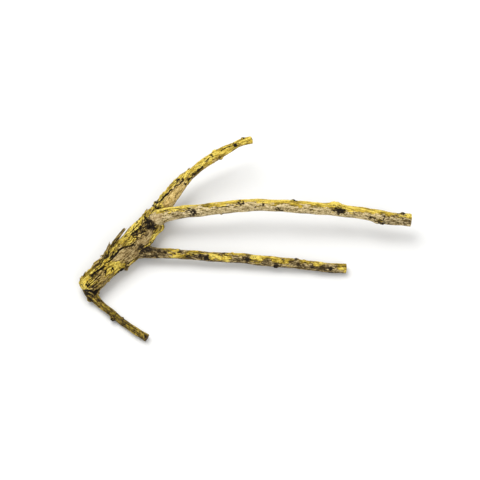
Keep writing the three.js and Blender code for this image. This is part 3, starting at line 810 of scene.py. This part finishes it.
# %% Lower branch
LOWER_LOOK = dict(
    seed=200, ridge=0.22, lump=0.19, bark=0.3, collar=1.8, evenly=0.30, favour=0.26, worn=0.1,
    knots=[
        (58, -52, 5, 0.9), (123, -58, 4, 1.4), (176, 108, 6, 1.7), (200, -56, 5, 1.6),
        (209, -60, 4.4, 1), (243, 60, 5.5, 0.8),
    ],
    lichen=[
        (150, 252, 12, -1.2), (161, 254, 5, -0.6), (164, 249.3, 2.5, 0.6), (171, 253, 5, 0.5),
        (178, 255.5, 5, 0.5), (184, 256.5, 4, 0.5), (181, 251, 2.5, -0.9), (192, 258.5, 4, -0.9),
        (199, 258.5, 4, -0.9), (205, 259, 4, -0.8), (192, 252.5, 4, 0.4), (202, 252.5, 4, 0.2),
        (212, 257.5, 4, 0.9), (219, 258, 4, 0.9), (226, 258, 4, 0.9), (231, 256.5, 3, 0.6),
        (236, 262, 6, -0.9), (244, 261.5, 6, -0.9), (240, 256, 4, 0.3), (253, 257.5, 4, 0.9),
        (259, 258, 4, 0.9), (266, 260.5, 3, -0.4), (273, 260.8, 3, 0.8), (279, 261.5, 3, 0.7),
        (270, 264.5, 5, -0.7), (280, 266, 5, -0.6), (286.5, 261.5, 3, 0.9), (294, 263, 4, -0.8),
        (303, 261, 3, 0.9), (309, 262, 3, 0.9), (316, 263.2, 3, 0.9), (321, 264, 3, 0.7),
        (300, 267, 5, -0.9), (310, 268, 5, -0.9), (320, 269, 5, -0.8), (330, 267.5, 5, -1),
        (342.5, 267, 4, 1.1), (335, 269.5, 3, -0.6),
    ],
    bare=[],
    dark=[
        (147, 250, 6, 0.7), (153, 250, 5, 0.5), (160, 250.5, 4, 0.5), (143, 248, 4, 0.8),
        (165, 252.5, 2.6, 0.8), (156, 256, 3, 0.4), (187, 256, 2, 0.7), (193, 254.8, 2, 0.7),
        (200, 255.3, 2, 0.8), (206, 257, 2.2, 0.9), (208.5, 260, 1.8, 0.8), (215, 252.8, 2.4, 0.6),
        (224, 253.3, 2.4, 0.6), (246, 259.5, 3, 0.6), (239, 261.5, 3, 0.5), (290, 262, 2.4, 0.5),
        (298, 265.5, 3, 0.6), (305, 267, 3, 0.6), (312, 267.5, 3, 0.6), (320, 268, 3, 0.6),
        (180, 251.5, 3.2, 0.6), (190, 256, 3, 0.5), (200, 256, 3.5, 0.5), (206, 258.5, 3, 0.6),
        (208, 252.3, 4, 0.4), (247, 258.5, 3.5, 0.6), (226.3, 252.8, 2, 0.8), (236, 260, 4, 0.3),
        (331, 268.6, 2.4, 1.3), (275.8, 266, 3, 1.5), (296, 259.4, 2, 0.9), (269, 262.5, 2, 0.6),
        (324, 266, 3, 0.5), (302.5, 259.8, 1.4, 0.6), (314, 267, 2, 0.4), (250, 262, 4, 0.3),
    ],
    cracks=[(0.5, 0.5, [(143, 246.5), (146, 250), (147.5, 254)]),
            (0.4, 0.4, [(186, 255.6), (193, 254.9), (200, 255.3), (206, 257.5), (208.5, 260)]),
            (0.5, 0.4, [(158, 251), (163, 252.3), (166.5, 252.8)]),
            (0.4, 0.5, [(270, 262.5), (276, 263.6), (282, 264)])],
)
lower, lower_skin = branch(
    "lower_branch", LOWER_LOOK, rows=680, around=94, start=("cut", 0.5), end=("cut", 0.8)
)

# %% [markdown]
# Base twig: a thin, olive-brown twig that turns down from the limb's foot. A hooked nub sits at
# its collar, and a knob where a side twig was.

# %% Base twig
TWIG_LOOK = dict(
    seed=300, ridge=0.16, lump=0.12, bark=0.2, collar=-1.9, evenly=0.36, favour=0.12, worn=0.05,
    knots=[
        (17, 96, 7, 3.4), (54, 96, 6.6, 4.2), (63, -64, 2.8, 1.4),
    ],
    lichen=[
        (90, 296, 9, -0.6), (105, 308, 6, 0.25), (111, 315, 5, 0.3), (98, 302, 4, -0.3),
    ],
    bare=[],
    dark=[
        # The marks at the twig's start paint shade in its joint with the limb.
        (89, 294, 5, 0.3), (85.5, 291.5, 2.2, 1.4), (90, 291.7, 2.2, 1.4), (94, 292.6, 2.2, 1.4),
        (98.7, 300.3, 2.2, 1), (93, 296, 4, 0.3), (113.5, 320, 3.6, 1.3), (145.6, 336.8, 1.8, 1.2),
        (124.3, 319.5, 1.6, 1), (125.2, 324, 1.8, 0.7), (134.3, 330, 1.6, 0.8), (89, 299, 2, 0.8),
    ],
    cracks=[(0.4, 0.4, [(119, 321.5), (126, 325), (131, 328.5)]),
            (0.4, 0.3, [(134, 330), (138, 332.5), (142, 334.5)]),
            (0.4, 0.3, [(97, 302), (104, 307.5), (109, 313)])],
)
twig, twig_skin = branch(
    "base_twig", TWIG_LOOK, rows=300, around=84, start=("dome", 2.0), end=("cut", 0.6)
)

# %% [markdown]
# Beside the fork the limb ends in a broken stub: bare, smooth wood on top, with a lip of yellow
# bark along its outer edge. It is a short tube of its own whose foot is buried in the limb.

# %% Broken stub
STUB_LICHEN = [
    (162, 225, 4.5, 1.5), (160, 231, 4.5, 1.5), (156, 236, 4, 1.4), (152, 240, 3.5, 1.1),
    (148, 236, 8, -0.8), (152, 230, 5, -0.6),
]
STUB_BARE = [
    (147, 238, 7, 1), (150, 232, 5, 1), (153, 229, 3, 0.7), (162, 226, 4, -1.2),
    (158, 231, 4, -1.5), (155, 236, 4, -1.2),
]
STUB_DARK = [
    (154, 228, 2.6, 0.8), (157, 239, 1.8, 0.5), (150, 243, 2.6, 0.8), (145, 248, 4, 0.7),
]
stub = bare_form("stub", rows=150, around=110, start=("dome", 3.0), end=("dome", 5.0))
bare = ramp(patches(stub, STUB_BARE) + 0.3 * grown(stub, 18, 5, 62, 3), 0.35, 0.5)
bark_lip = 0.3 * grown(stub, 3, 1.8, 63, 3)
wood_top = -0.5 + 0.2 * grown(stub, 14, 0.8, 61) + 0.3 * grown(stub, 12, 3, 64)
stub.height = wave_sum(BRANCH_WRINKLES, stub) + bark_lip + (wood_top - bark_lip) * bare
sunk = np.clip(hollowness(stub.height, 3) / 0.35, 0, 1)
stub.masks = dict(
    lichen=lichen_on(stub, STUB_LICHEN, evenly=0.3, favour=0.1) * (1 - 0.9 * bare),
    bare=bare,
    # The hollowness term is painted shade in the stub's hollows; the marks add stains.
    dark=np.clip(0.8 * sunk + patches(stub, STUB_DARK, 0.5), 0, 1),
    raised=np.clip(-hollowness(stub.height, 3) / 0.35, 0, 1),
)
stub_skin = tube_piece(stub, "broken_stub")

# %% [markdown]
# Splinters of bark stand off the limb's back edge. Each is a flat, fibrous strip that tapers from
# its root: a short tube whose fibres make its sides ragged and fray its end. Its numbers are how
# much fuller than its plan it is at the root and at the tip, and its stations.

# %% Splinters
SPLINTERS = {
    "long_splinter": (0.1, -0.1, [
        (-156, -19, 19.5, 5), (-148, -6.4, 24, 4.4), (-138.5, 7.8, 26.6, 3)
    ]),
    "short_splinter": (0.1, -0.1, [
        (-161, -27.5, 20, 5), (-156.5, -15.8, 24.4, 3), (-155.4, -11.6, 25.6, 1.8)
    ]),
    "edge_chip": (0.1, 0.0, [
        (-134.5, -21, 8, 8), (-135.2, -31, 7.6, 6.4), (-135.8, -35.6, 7.6, 3.6)
    ]),
}
FRAY = 3.6  # mm by which the longest strands reach past the end
splinter_pieces = []
for order, (name, (root, tip, stations)) in enumerate(SPLINTERS.items()):
    PLANS[name] = stations
    strip = bare_form(name, rows=90, around=48, start=("cut", 0.2), end=("cut", 0.8))
    strands = grown(strip, 16, 0.7, 65 + order)
    share = strip.along / strip.length
    slim = root + (tip - root) * ramp(share, 0.25, 0.75)
    ragged = 0.35 * grown(strip, 3, 2, 72 + order) * (1 - share)
    strip.height = strip.radius * (0.4 * strands + slim + ragged)
    strip.height = strip.height + 0.1 * grown(strip, 1.5, 1.5, 68 + order)
    frayed = FRAY * strands * ramp(share, 0.7, 1.0)
    strip.base = strip.base + frayed[..., None] * strip.ahead
    rooted = 1 - ramp(share, 0.3, 0.7)
    # The hollowness term paints shade between the strands.
    dark = 0.55 + 0.1 * rooted - 0.9 * strands + hollowness(strip.height, 2) / 0.3
    strip.masks = dict(
        lichen=np.clip(0.05 + 0.35 * rooted + 0.45 * strands, 0, 1), bare=0.25 + 0 * strands,
        dark=np.clip(dark, 0, 1), raised=np.clip(strands, 0, 1),
    )
    strip.face = strip.face * 0
    splinter_pieces.append(tube_piece(strip, name))

# %% [markdown]
# Loose flakes of bark lie on the limb and lift at one end. A flake is a small grid of points over
# the limb's own surface: a ragged oval, raised by a height that grows towards its free end. All
# flakes are computed together, and a Solidify modifier gives them their thickness.

# %% Loose flakes of bark
FLAKE_GRID = (9, 6)  # points along and across a flake
FLAKE_THICK, FLAKE_GAP, FLAKE_CURL = 0.5, 0.25, 0.35  # mm
WRAP = 13.0  # mm of a flake's width to a radian round the piece
UNDERSIDE = (130, 230)  # degrees round from the top
CROWDED = 0.5  # bare wood and darkness of dirt and painted shade above which no flake holds


def grid_normals(shaped):
    """Outward normals of a grid that closes round: the cross product of its two directions."""
    round_step = np.roll(shaped, -1, axis=1) - np.roll(shaped, 1, axis=1)
    normal = np.cross(round_step, np.gradient(shaped, axis=0))
    return normal / np.maximum(np.linalg.norm(normal, axis=-1, keepdims=True), 1e-9)


def sampled(grid, row, column):
    """Values of a grid between its points: the weighted mean of the four corners round each."""
    rows, around = grid.shape[:2]
    row = np.clip(row, 0, rows - 1.001)
    r, c = np.floor(row).astype(int), np.floor(column).astype(int)
    u, v = (row - r)[..., None], (column - c)[..., None]
    near, far = c % around, (c + 1) % around
    low = grid[r, near] * (1 - v) + grid[r, far] * v
    high = grid[r + 1, near] * (1 - v) + grid[r + 1, far] * v
    return low * (1 - u) + high * u


def free_bark(form, along, degrees):
    """True away from bare wood, dark cracks and the underside that lies on the ground."""
    taken = box_mean(form.masks["bare"] + 1.5 * form.masks["dark"], 3)
    row = np.minimum(np.searchsorted(form.along[:, 0], along), len(form.along) - 1)
    column = (degrees / 360 * taken.shape[1]).astype(int)
    above = (degrees <= UNDERSIDE[0]) | (degrees >= UNDERSIDE[1])
    return above & (taken[row, column] <= CROWDED)


def flakes(name, form, count, seed, span, lengths, widths, lift):
    """Flakes at random places of a form, as one mesh. With u and v from -1 to 1 along and across
    a flake, its point lies at (centre + u * half length, centre + v * half width * outline(u)) on
    the surface, raised by rise = gap + lift * ((1 + u) / 2)^2 + curl * v^2."""
    draw = np.random.default_rng(seed)
    smooth = form.shaped
    for _ in range(3):
        smooth = (np.roll(smooth, 1, 1) + 2 * smooth + np.roll(smooth, -1, 1)) / 4
    normals = grid_normals(smooth)
    pool = np.stack([draw.uniform(*span, count * 8), draw.uniform(0, 360, count * 8)])
    centre, degrees = pool[:, free_bark(form, *pool)][:, :count, None, None]
    n = len(centre)
    u, v = np.meshgrid(*(np.linspace(-1, 1, k) for k in FLAKE_GRID), indexing="ij")
    half_length = draw.uniform(*lengths, (n, 1, 1))
    half_width = draw.uniform(*widths, (n, 1, 1))
    facing = draw.choice([-1, 1], (n, 1, 1))
    ragged = 1 + 0.35 * draw.normal(size=(n, FLAKE_GRID[0], 1))
    outline = np.sqrt(np.clip(1.06 - u**2, 0.02, 1)) * ragged
    torn = 0.22 * draw.normal(size=(n, 1, FLAKE_GRID[1])) * np.abs(u)
    free_end = ((1 + facing * u) / 2) ** 2
    rise = FLAKE_GAP + draw.uniform(*lift, (n, 1, 1)) * free_end + FLAKE_CURL * v**2
    along = centre + half_length * (u + torn)
    turn = np.radians(degrees) + half_width * v * outline / WRAP
    row = np.interp(along, form.along[:, 0], np.arange(len(form.along)))
    column = turn / (2 * np.pi) * form.shaped.shape[1]
    points = sampled(smooth, row, column) + rise[..., None] * sampled(normals, row, column)
    cell = np.arange(row.size).reshape(row.shape)
    corners = [cell[:, :-1, :-1], cell[:, :-1, 1:], cell[:, 1:, 1:], cell[:, 1:, :-1]]
    quads = np.stack(corners, axis=-1).reshape(-1, 4)
    tint = draw.normal(size=(n, 1, 1))
    lichen, dark = (
        sampled(form.masks[mask][..., None], row, column)[..., 0] for mask in ("lichen", "dark")
    )
    dark = 0.05 + 0.5 * dark + 0.25 * v**2 * (1 - u**2) + 0.1 * tint
    masks = dict(
        lichen=np.clip(lichen + 0.2 * tint, 0, 1), bare=np.clip(0.15 + 0.1 * tint + 0 * row, 0, 1),
        dark=np.clip(dark, 0, 1), raised=0.3 + 0 * row, cut=0 * row,
    )
    grain = sampled(form.grain, row, column).reshape(-1, 3)
    piece = mesh_piece(name, points.reshape(-1, 3), [quads], masks, grain)
    wall = piece.modifiers.new("bark thickness", "SOLIDIFY")
    wall.thickness = FLAKE_THICK * MM
    wall.offset = -1
    print(f"{name}: {n} flakes")
    return piece


limb_flakes = flakes(
    "limb_flakes", limb, count=90, seed=5, span=(6, 132), lengths=(2.0, 5.5), widths=(0.9, 2.4),
    lift=(0.3, 1.8)
)
upper_flakes = flakes(
    "upper_flakes", upper, count=26, seed=6, span=(6, 62), lengths=(1.6, 4.0), widths=(0.7, 1.6),
    lift=(0.2, 1.1)
)

# %% [markdown]
# Now the finishes. Effects that several barks share are node groups: a crust of lichen, the fibres
# of wood, a blotchy skin of bark, dirt in the crevices, fine cracks and the rings of a cut end.
# Each reads the grain attribute, so patterns follow the wood round every bend.

# %% Small helpers for node trees
def paint(code):
    """Blender's linear colour of a web colour."""
    parts = [int(code[i:i + 2], 16) / 255 for i in (0, 2, 4)]
    return [p / 12.92 if p <= 0.04045 else ((p + 0.055) / 1.055) ** 2.4 for p in parts] + [1.0]


def add(tree, kind, plugs=None, **settings):
    """A new node with its settings, its inputs linked, painted with a web colour or filled."""
    made = tree.nodes.new(kind)
    for key, value in settings.items():
        setattr(made, key, value)
    for plug, value in (plugs or {}).items():
        if isinstance(value, bpy.types.NodeSocket):
            tree.links.new(value, made.inputs[plug])
        else:
            made.inputs[plug].default_value = paint(value) if isinstance(value, str) else value
    return made


def sums(tree, operation, *values):
    """One step of arithmetic."""
    return add(tree, "ShaderNodeMath", dict(enumerate(values)), operation=operation).outputs[0]


def vectors(tree, operation, *values):
    """One step of arithmetic with vectors."""
    return add(tree, "ShaderNodeVectorMath", dict(enumerate(values)), operation=operation).outputs


def weighed(tree, total, *parts):
    """A first value plus the sum of value * weight over the parts."""
    for value, weight in parts:
        total = sums(tree, "MULTIPLY_ADD", value, weight, total)
    return total


def soft_step(tree, value, low, high):
    """0 below low and 1 above high."""
    plugs = {"Value": value, "From Min": low, "From Max": high}
    return add(tree, "ShaderNodeMapRange", plugs, interpolation_type="SMOOTHSTEP").outputs[0]


def between(tree, amount, first, second):
    """A colour between two others."""
    made = add(tree, "ShaderNodeMix", {0: amount, 6: first, 7: second}, data_type="RGBA")
    return made.outputs[2]


def shades(tree, value, colour, *turns):
    """A colour that turns into the next one wherever the value rises from low to high."""
    for low, high, following in turns:
        colour = between(tree, soft_step(tree, value, low, high), colour, following)
    return colour


def speckle(tree, place, size, stretch=1.0, detail=3.0):
    """Noise with blotches of a size in mm, stretched along the grain."""
    drawn = vectors(tree, "MULTIPLY", place, (1 / stretch, 1, 1))[0]
    plugs = {"Vector": drawn, "Scale": 1 / (size * MM), "Detail": detail}
    return add(tree, "ShaderNodeTexNoise", plugs).outputs["Fac"]


def scattered(tree, place, size):
    """Distance to the nearest of points strewn a size in mm apart, from 0 to about 1."""
    plugs = {"Vector": place, "Scale": 1 / (size * MM)}
    return add(tree, "ShaderNodeTexVoronoi", plugs).outputs["Distance"]


def new_group(name, outputs, **inputs):
    """A node group that reads a Place and the named inputs, which start as a web colour or a
    number, and puts out what is listed: a Color, or a number under any other label."""
    group = bpy.data.node_groups.new(name, "ShaderNodeTree")
    group.interface.new_socket("Place", in_out="INPUT", socket_type="NodeSocketVector")
    for label, value in inputs.items():
        kind = "NodeSocketColor" if isinstance(value, str) else "NodeSocketFloat"
        socket = group.interface.new_socket(label, in_out="INPUT", socket_type=kind)
        socket.default_value = paint(value) if isinstance(value, str) else value
    for label in outputs:
        kind = "NodeSocketColor" if label == "Color" else "NodeSocketFloat"
        group.interface.new_socket(label, in_out="OUTPUT", socket_type=kind)
    return group, group.nodes.new("NodeGroupInput").outputs


def put_out(tree, **values):
    """Links a group's results to its outputs."""
    result = tree.nodes.new("NodeGroupOutput")
    for label, value in values.items():
        tree.links.new(value, result.inputs[label])
    print(f"{tree.name}: {len(tree.nodes)} nodes")


print("web colour c8b27e is linear", np.round(paint("c8b27e"), 3))

# %% [markdown]
# Lichen grows in small scales with crisp edges. The amount stored with the mesh is compared with
# fine noise, so the crust breaks up into islands where there is little of it. It darkens with age,
# and stays young where it is thick or stands proud.

# %% Lichen crust
tree, given = new_group(
    "Lichen crust", ("Mask", "Color", "Height"), Amount=0.5, Raised=0.0, Age=0.0,
    Young="ecc84e", Ripe="c9a53f", Old="8a6f26", Rot="4e3d15"
)
place = given["Place"]
islands = speckle(tree, place, 1.9, 3.5, 5)
strands = speckle(tree, place, 0.8, 7.0, 3)
amount = weighed(tree, -1.0, (islands, 1.1), (strands, 0.9), (given["Amount"], 1.0))
mask = soft_step(tree, amount, 0.34, 0.52)
wide = speckle(tree, place, 4.0, 5.0, 4)
thin = speckle(tree, place, 1.2, 7.0, 4)
age = weighed(tree, given["Age"], (wide, 0.9), (thin, 0.9), (given["Raised"], -0.22),
              (given["Amount"], -0.25))
colour = shades(tree, age, given["Young"], (0.50, 0.65, given["Ripe"]),
                (0.65, 0.81, given["Old"]), (0.82, 0.95, given["Rot"]))
scale = scattered(tree, place, 1.0)
rims = sums(tree, "MULTIPLY", soft_step(tree, scale, 0.35, 0.8), 0.5)
colour = between(tree, rims, colour, given["Old"])
dome = sums(tree, "SUBTRACT", 1.0, scale)
put_out(tree, Mask=mask, Color=colour, Height=sums(tree, "MULTIPLY", mask, dome))

# %% [markdown]
# Weathered wood is made of fibres: thin streaks, many times longer than they are wide. Broad and
# fine blotches keep them from looking drawn with a comb.

# %% Wood fibres
tree, given = new_group(
    "Wood fibres", ("Color", "Height"), Pale="c4b290", Mid="a08c64", Deep="5c4a28"
)
place = given["Place"]
streaks = speckle(tree, place, 0.8, 14, 4)
broad = speckle(tree, place, 3.4, 2.0, 4)
grit = speckle(tree, place, 1.3, 1.4, 4)
tone = weighed(tree, streaks, (broad, 0.9), (grit, 1.0))
colour = shades(tree, tone, given["Deep"], (1.20, 1.38, given["Mid"]), (1.42, 1.64, given["Pale"]))
put_out(tree, Color=colour, Height=streaks)

# %% [markdown]
# Young bark is a thin skin, blotched, streaked along the grain and dotted with pores.

# %% Bark skin
tree, given = new_group(
    "Bark skin", ("Color", "Height"), Raised=0.0, Pale="b5a070", Mid="86713f", Deep="4a3a1c",
    Streak=0.5, Depth=0.0, Contrast=1.0
)
place = given["Place"]
blotches = speckle(tree, place, 3.0, 2.0, 4)
strands = speckle(tree, place, 1.0, 8.0, 4)
grit = speckle(tree, place, 1.3, 1.4, 4)
streaks = sums(tree, "SUBTRACT", strands, 0.5)
tone = weighed(tree, -0.7, (blotches, 0.6), (grit, 0.8), (streaks, given["Streak"]),
               (given["Raised"], -0.12))
tone = weighed(tree, given["Depth"], (tone, given["Contrast"]))
colour = shades(tree, tone, given["Pale"], (-0.10, 0.03, given["Mid"]), (0.05, 0.17, given["Deep"]))
clear = soft_step(tree, scattered(tree, place, 2.3), 0.12, 0.24)
pores = weighed(tree, 0.7, (clear, -0.7))
relief = weighed(tree, 0.0, (blotches, 0.6), (strands, 0.6))
put_out(tree, Color=between(tree, pores, colour, given["Deep"]), Height=relief)

# %% [markdown]
# Dirt and painted shade gather in crevices, with an edge that fine noise breaks. A half-tone of
# dust and painted shade lies round them.

# %% Crevice dirt and shade
tree, given = new_group(
    "Crevice dirt and shade", ("Color",), Color="808080", Amount=0.0, Dust="5a451d", Dirt="181006"
)
wide = speckle(tree, given["Place"], 1.5, 3.5, 4)
thin = speckle(tree, given["Place"], 0.6, 9.0, 3)
amount = weighed(tree, -0.65, (wide, 0.7), (thin, 0.6), (given["Amount"], 1.0))
dust_and_shade = sums(tree, "MULTIPLY", soft_step(tree, amount, 0.12, 0.5), 0.75)
colour = between(tree, dust_and_shade, given["Color"], given["Dust"])
put_out(tree, Color=shades(tree, amount, colour, (0.45, 0.9, given["Dirt"])))

# %% [markdown]
# Dry bark and old lichen split into small plates. The lines between them follow the borders of
# cells that are stretched along the grain, and noise closes most of them.

# %% Fine cracks
BEND_SIZE, BEND, SHORTEN = 3.0, 1.4, 0.17  # mm, mm, and the share left of the grain's length

tree, given = new_group("Fine cracks", ("Mask",), Size=2.0 * MM, Width=0.12, Share=0.5)
plugs = {"Vector": given["Place"], "Scale": 1 / (BEND_SIZE * MM), "Detail": 3.0}
bend = add(tree, "ShaderNodeTexNoise", plugs).outputs["Color"]
bent = vectors(tree, "ADD", given["Place"], vectors(tree, "MULTIPLY", bend, (BEND * MM,) * 3)[0])
drawn = vectors(tree, "MULTIPLY", bent[0], (SHORTEN, 1, 1))[0]
plugs = {"Vector": drawn, "Scale": sums(tree, "DIVIDE", 1.0, given["Size"])}
cells = add(tree, "ShaderNodeTexVoronoi", plugs, feature="DISTANCE_TO_EDGE").outputs["Distance"]
beside = soft_step(tree, sums(tree, "DIVIDE", cells, given["Width"]), 0.2, 1.0)
line = sums(tree, "SUBTRACT", 1.0, beside)
gate = sums(tree, "ADD", speckle(tree, given["Place"], 2.6, 2.0, 3), given["Share"])
put_out(tree, Mask=sums(tree, "MULTIPLY", line, soft_step(tree, gate, 0.92, 1.08)))

# %% [markdown]
# A cut end shows the year rings round a dark pith. The rings are a sine of the distance from the
# heart, which noise makes uneven.

# %% Cut end
RING_PITCH = 1.25 * MM
PITH = (1.1 * MM, 2.2 * MM)

tree, given = new_group("Cut end", ("Color", "Height"), Pale="c8b080", Deep="6b5226")
place = given["Place"]
flat = vectors(tree, "MULTIPLY", place, (0, 1, 1))[0]
radius = vectors(tree, "LENGTH", flat)["Value"]
uneven = weighed(tree, radius, (speckle(tree, place, 4.0), 0.5 * MM))
rings = sums(tree, "SINE", sums(tree, "MULTIPLY", uneven, 2 * math.pi / RING_PITCH))
tone = weighed(tree, 0.27, (rings, 0.21), (speckle(tree, place, 0.5), 0.5))
colour = shades(tree, tone, given["Deep"], (0.3, 0.8, given["Pale"]))
outside = weighed(tree, radius, (speckle(tree, place, 1.2), 1.6 * MM))
pith = sums(tree, "SUBTRACT", 1.0, soft_step(tree, outside, *PITH))
colour = between(tree, sums(tree, "MULTIPLY", pith, 0.7), colour, "3a2812")
put_out(tree, Color=colour, Height=sums(tree, "SUBTRACT", tone, pith))

# %% [markdown]
# Every bark is built the same way from these groups, with its own colours: skin, then bare wood,
# then lichen, then the cut end, and dirt and painted shade over all of them. Colours go from pale
# to deep. The plates are the size in millimetres, the line width and the share of the fine cracks.

# %% Finishes
TONES = ("Pale", "Mid", "Deep")
AGES = ("Young", "Ripe", "Old", "Rot")
LICHEN = ("fbe26c", "d2b03a", "84701f", "3c300d")
CUT_WOOD = ("c8b080", "6b5226")
# half-tone and black for dark places: dust and dirt, and painted shade
DUST_DIRT_AND_SHADE = ("4a3812", "1b1205")
CALM_WOOD = 0.8  # share by which fine cracks fade on bare wood


def finish(name, skin, wood, plates, lichen=LICHEN, cut=CUT_WOOD, streak=1.0, depth=0.0,
           contrast=1.0, age=0.0, relief=0.35):
    """A bark material. The masks come from the mesh, and the relief is the bump's depth in mm."""
    material = bpy.data.materials.new(name)
    material.use_nodes = True
    tree = material.node_tree
    shader = tree.nodes["Principled BSDF"]
    place = add(tree, "ShaderNodeAttribute", attribute_name="grain").outputs["Vector"]
    lichen_mask, bare, dark, raised, face = (
        add(tree, "ShaderNodeAttribute", attribute_name=label).outputs["Fac"]
        for label in ("lichen", "bare", "dark", "raised", "cut")
    )

    def grouped(group, labels, colours, **plugs):
        plugs = {"Place": place, **dict(zip(labels, colours)), **plugs}
        return add(tree, "ShaderNodeGroup", plugs, node_tree=bpy.data.node_groups[group]).outputs

    bark = grouped("Bark skin", TONES, skin, Raised=raised, Streak=streak, Depth=depth,
                   Contrast=contrast)
    fibres = grouped("Wood fibres", TONES, wood)
    crust = grouped("Lichen crust", AGES, lichen, Amount=lichen_mask, Raised=raised, Age=age)
    end = grouped("Cut end", ("Pale", "Deep"), cut)
    colour = between(tree, bare, bark["Color"], fibres["Color"])
    colour = between(tree, crust["Mask"], colour, crust["Color"])
    colour = between(tree, face, colour, end["Color"])
    size, width, share = plates
    lines = grouped("Fine cracks", (), (), Size=size * MM, Width=width, Share=share)["Mask"]
    lines = sums(tree, "MULTIPLY", lines, weighed(tree, 1.0, (bare, -CALM_WOOD)))
    amount = weighed(tree, dark, (lines, 0.6))
    # Dirt and painted shade darken the colour where the dark mask and the fine cracks say.
    dirt_and_shade = grouped("Crevice dirt and shade", ("Dust", "Dirt"), DUST_DIRT_AND_SHADE, Color=colour, Amount=amount)
    tree.links.new(dirt_and_shade["Color"], shader.inputs["Base Color"])
    rough = weighed(tree, 0.72, (bark["Height"], 0.25))
    tree.links.new(rough, shader.inputs["Roughness"])
    shader.inputs["Specular IOR Level"].default_value = 0.25
    height = weighed(tree, bark["Height"], (crust["Height"], 1.4), (fibres["Height"], 0.8),
                     (lines, -1.0))
    plugs = {"Height": height, "Distance": relief * MM, "Strength": 0.8}
    tree.links.new(add(tree, "ShaderNodeBump", plugs).outputs[0], shader.inputs["Normal"])
    return material


BARKS = {
    "limb_bark": finish(
        "limb bark", ("c4aa66", "846c30", "443519"), ("c8b27e", "8e7648", "443416"),
        (3.4, 0.12, 0.46), relief=0.5
    ),
    "upper_bark": finish(
        "upper branch bark", ("dcc082", "a48848", "5a451d"), ("ecd392", "c6a862", "786230"),
        (2.8, 0.12, 0.40), streak=0.9, age=-0.07
    ),
    "middle_bark": finish(
        "middle branch bark", ("e0cc9e", "b4a06e", "5e4c28"), ("ceba8c", "a89064", "78643c"),
        (2.4, 0.1, 0.30), streak=0.9, depth=0.02, contrast=0.88, age=-0.06
    ),
    "lower_bark": finish(
        "lower branch bark", ("c4ae7a", "766440", "2a2010"), ("b5a176", "7c6840", "46361a"),
        (2.4, 0.12, 0.45), cut=("d2b254", "7a6020"), streak=0.8, depth=0.04, contrast=1.3, age=-0.06
    ),
    "twig_bark": finish(
        "twig bark", ("b89c40", "6e5a1e", "2a200b"), ("a08a58", "6e5a30", "3c2d14"),
        (2.0, 0.14, 0.52), lichen=("d8b83c", "9c8628", "544414", "281e08"),
        cut=("7a5c30", "2c1e0c"), streak=1.1, age=0.01
    ),
}
print("finishes:", [material.name for material in BARKS.values()])

# %% [markdown]
# Each skin stands for its solid and takes that solid's finish. The stub, splinters and flakes
# belong to the limb.

# %% Dress the branch
SKINS = [
    (limb_skin, "limb", "limb_bark"), (upper_skin, "upper_branch", "upper_bark"),
    (middle_skin, "middle_branch", "middle_bark"), (lower_skin, "lower_branch", "lower_bark"),
    (twig_skin, "base_twig", "twig_bark"),
]
TRIMMINGS = [(piece, "limb_bark") for piece in (stub_skin, limb_flakes, *splinter_pieces)]
TRIMMINGS.append((upper_flakes, "upper_bark"))
for piece, node, slot in SKINS:
    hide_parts(node)
for piece, slot in [(piece, slot) for piece, _, slot in SKINS] + TRIMMINGS:
    piece.data.materials.append(BARKS[slot])
    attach(piece, "root")
print("dressed pieces:", len(SKINS) + len(TRIMMINGS))

# %% [markdown]
# The branch lies on a plain pale floor under soft studio light: a large lamp from the back left,
# a weaker one from the front, and a pale sky that fills the shadows.

# %% Floor and light
FLOOR_HALF = 4.0
FLOOR_COLOUR, FLOOR_ROUGHNESS = (0.86, 0.86, 0.85, 1), 0.9
SKY_COLOUR, SKY_STRENGTH = (1, 1, 1, 1), 0.62
# place and size in m, and power in W
LAMPS = {"key lamp": ((-0.6, 0.7, 1.7), 1.4, 25), "front lamp": ((0.8, -1.3, 1.4), 1.5, 13)}

floor_mesh = bpy.data.meshes.new("floor")
corners = [(x * FLOOR_HALF, y * FLOOR_HALF, 0) for x, y in ((-1, -1), (1, -1), (1, 1), (-1, 1))]
floor_mesh.from_pydata(corners, [], [(0, 1, 2, 3)])
floor = bpy.data.objects.new("floor", floor_mesh)
bpy.context.scene.collection.objects.link(floor)
floor_paint = bpy.data.materials.new("pale floor")
floor_paint.use_nodes = True
floor_shader = floor_paint.node_tree.nodes["Principled BSDF"]
floor_shader.inputs["Base Color"].default_value = FLOOR_COLOUR
floor_shader.inputs["Roughness"].default_value = FLOOR_ROUGHNESS
floor_mesh.materials.append(floor_paint)

for name, (spot_in_room, size, power) in LAMPS.items():
    lamp = bpy.data.objects.new(name, bpy.data.lights.new(name, "AREA"))
    lamp.data.size = size
    lamp.data.energy = power
    lamp.location = spot_in_room
    lamp.rotation_euler = (-Vector(spot_in_room)).to_track_quat("-Z", "Y").to_euler()
    bpy.context.scene.collection.objects.link(lamp)

world = bpy.data.worlds.new("studio")
world.use_nodes = True
world.node_tree.nodes["Background"].inputs["Color"].default_value = SKY_COLOUR
world.node_tree.nodes["Background"].inputs["Strength"].default_value = SKY_STRENGTH
bpy.context.scene.world = world
bpy.context.scene.view_settings.view_transform = "Standard"
print("lamps:", ", ".join(LAMPS))
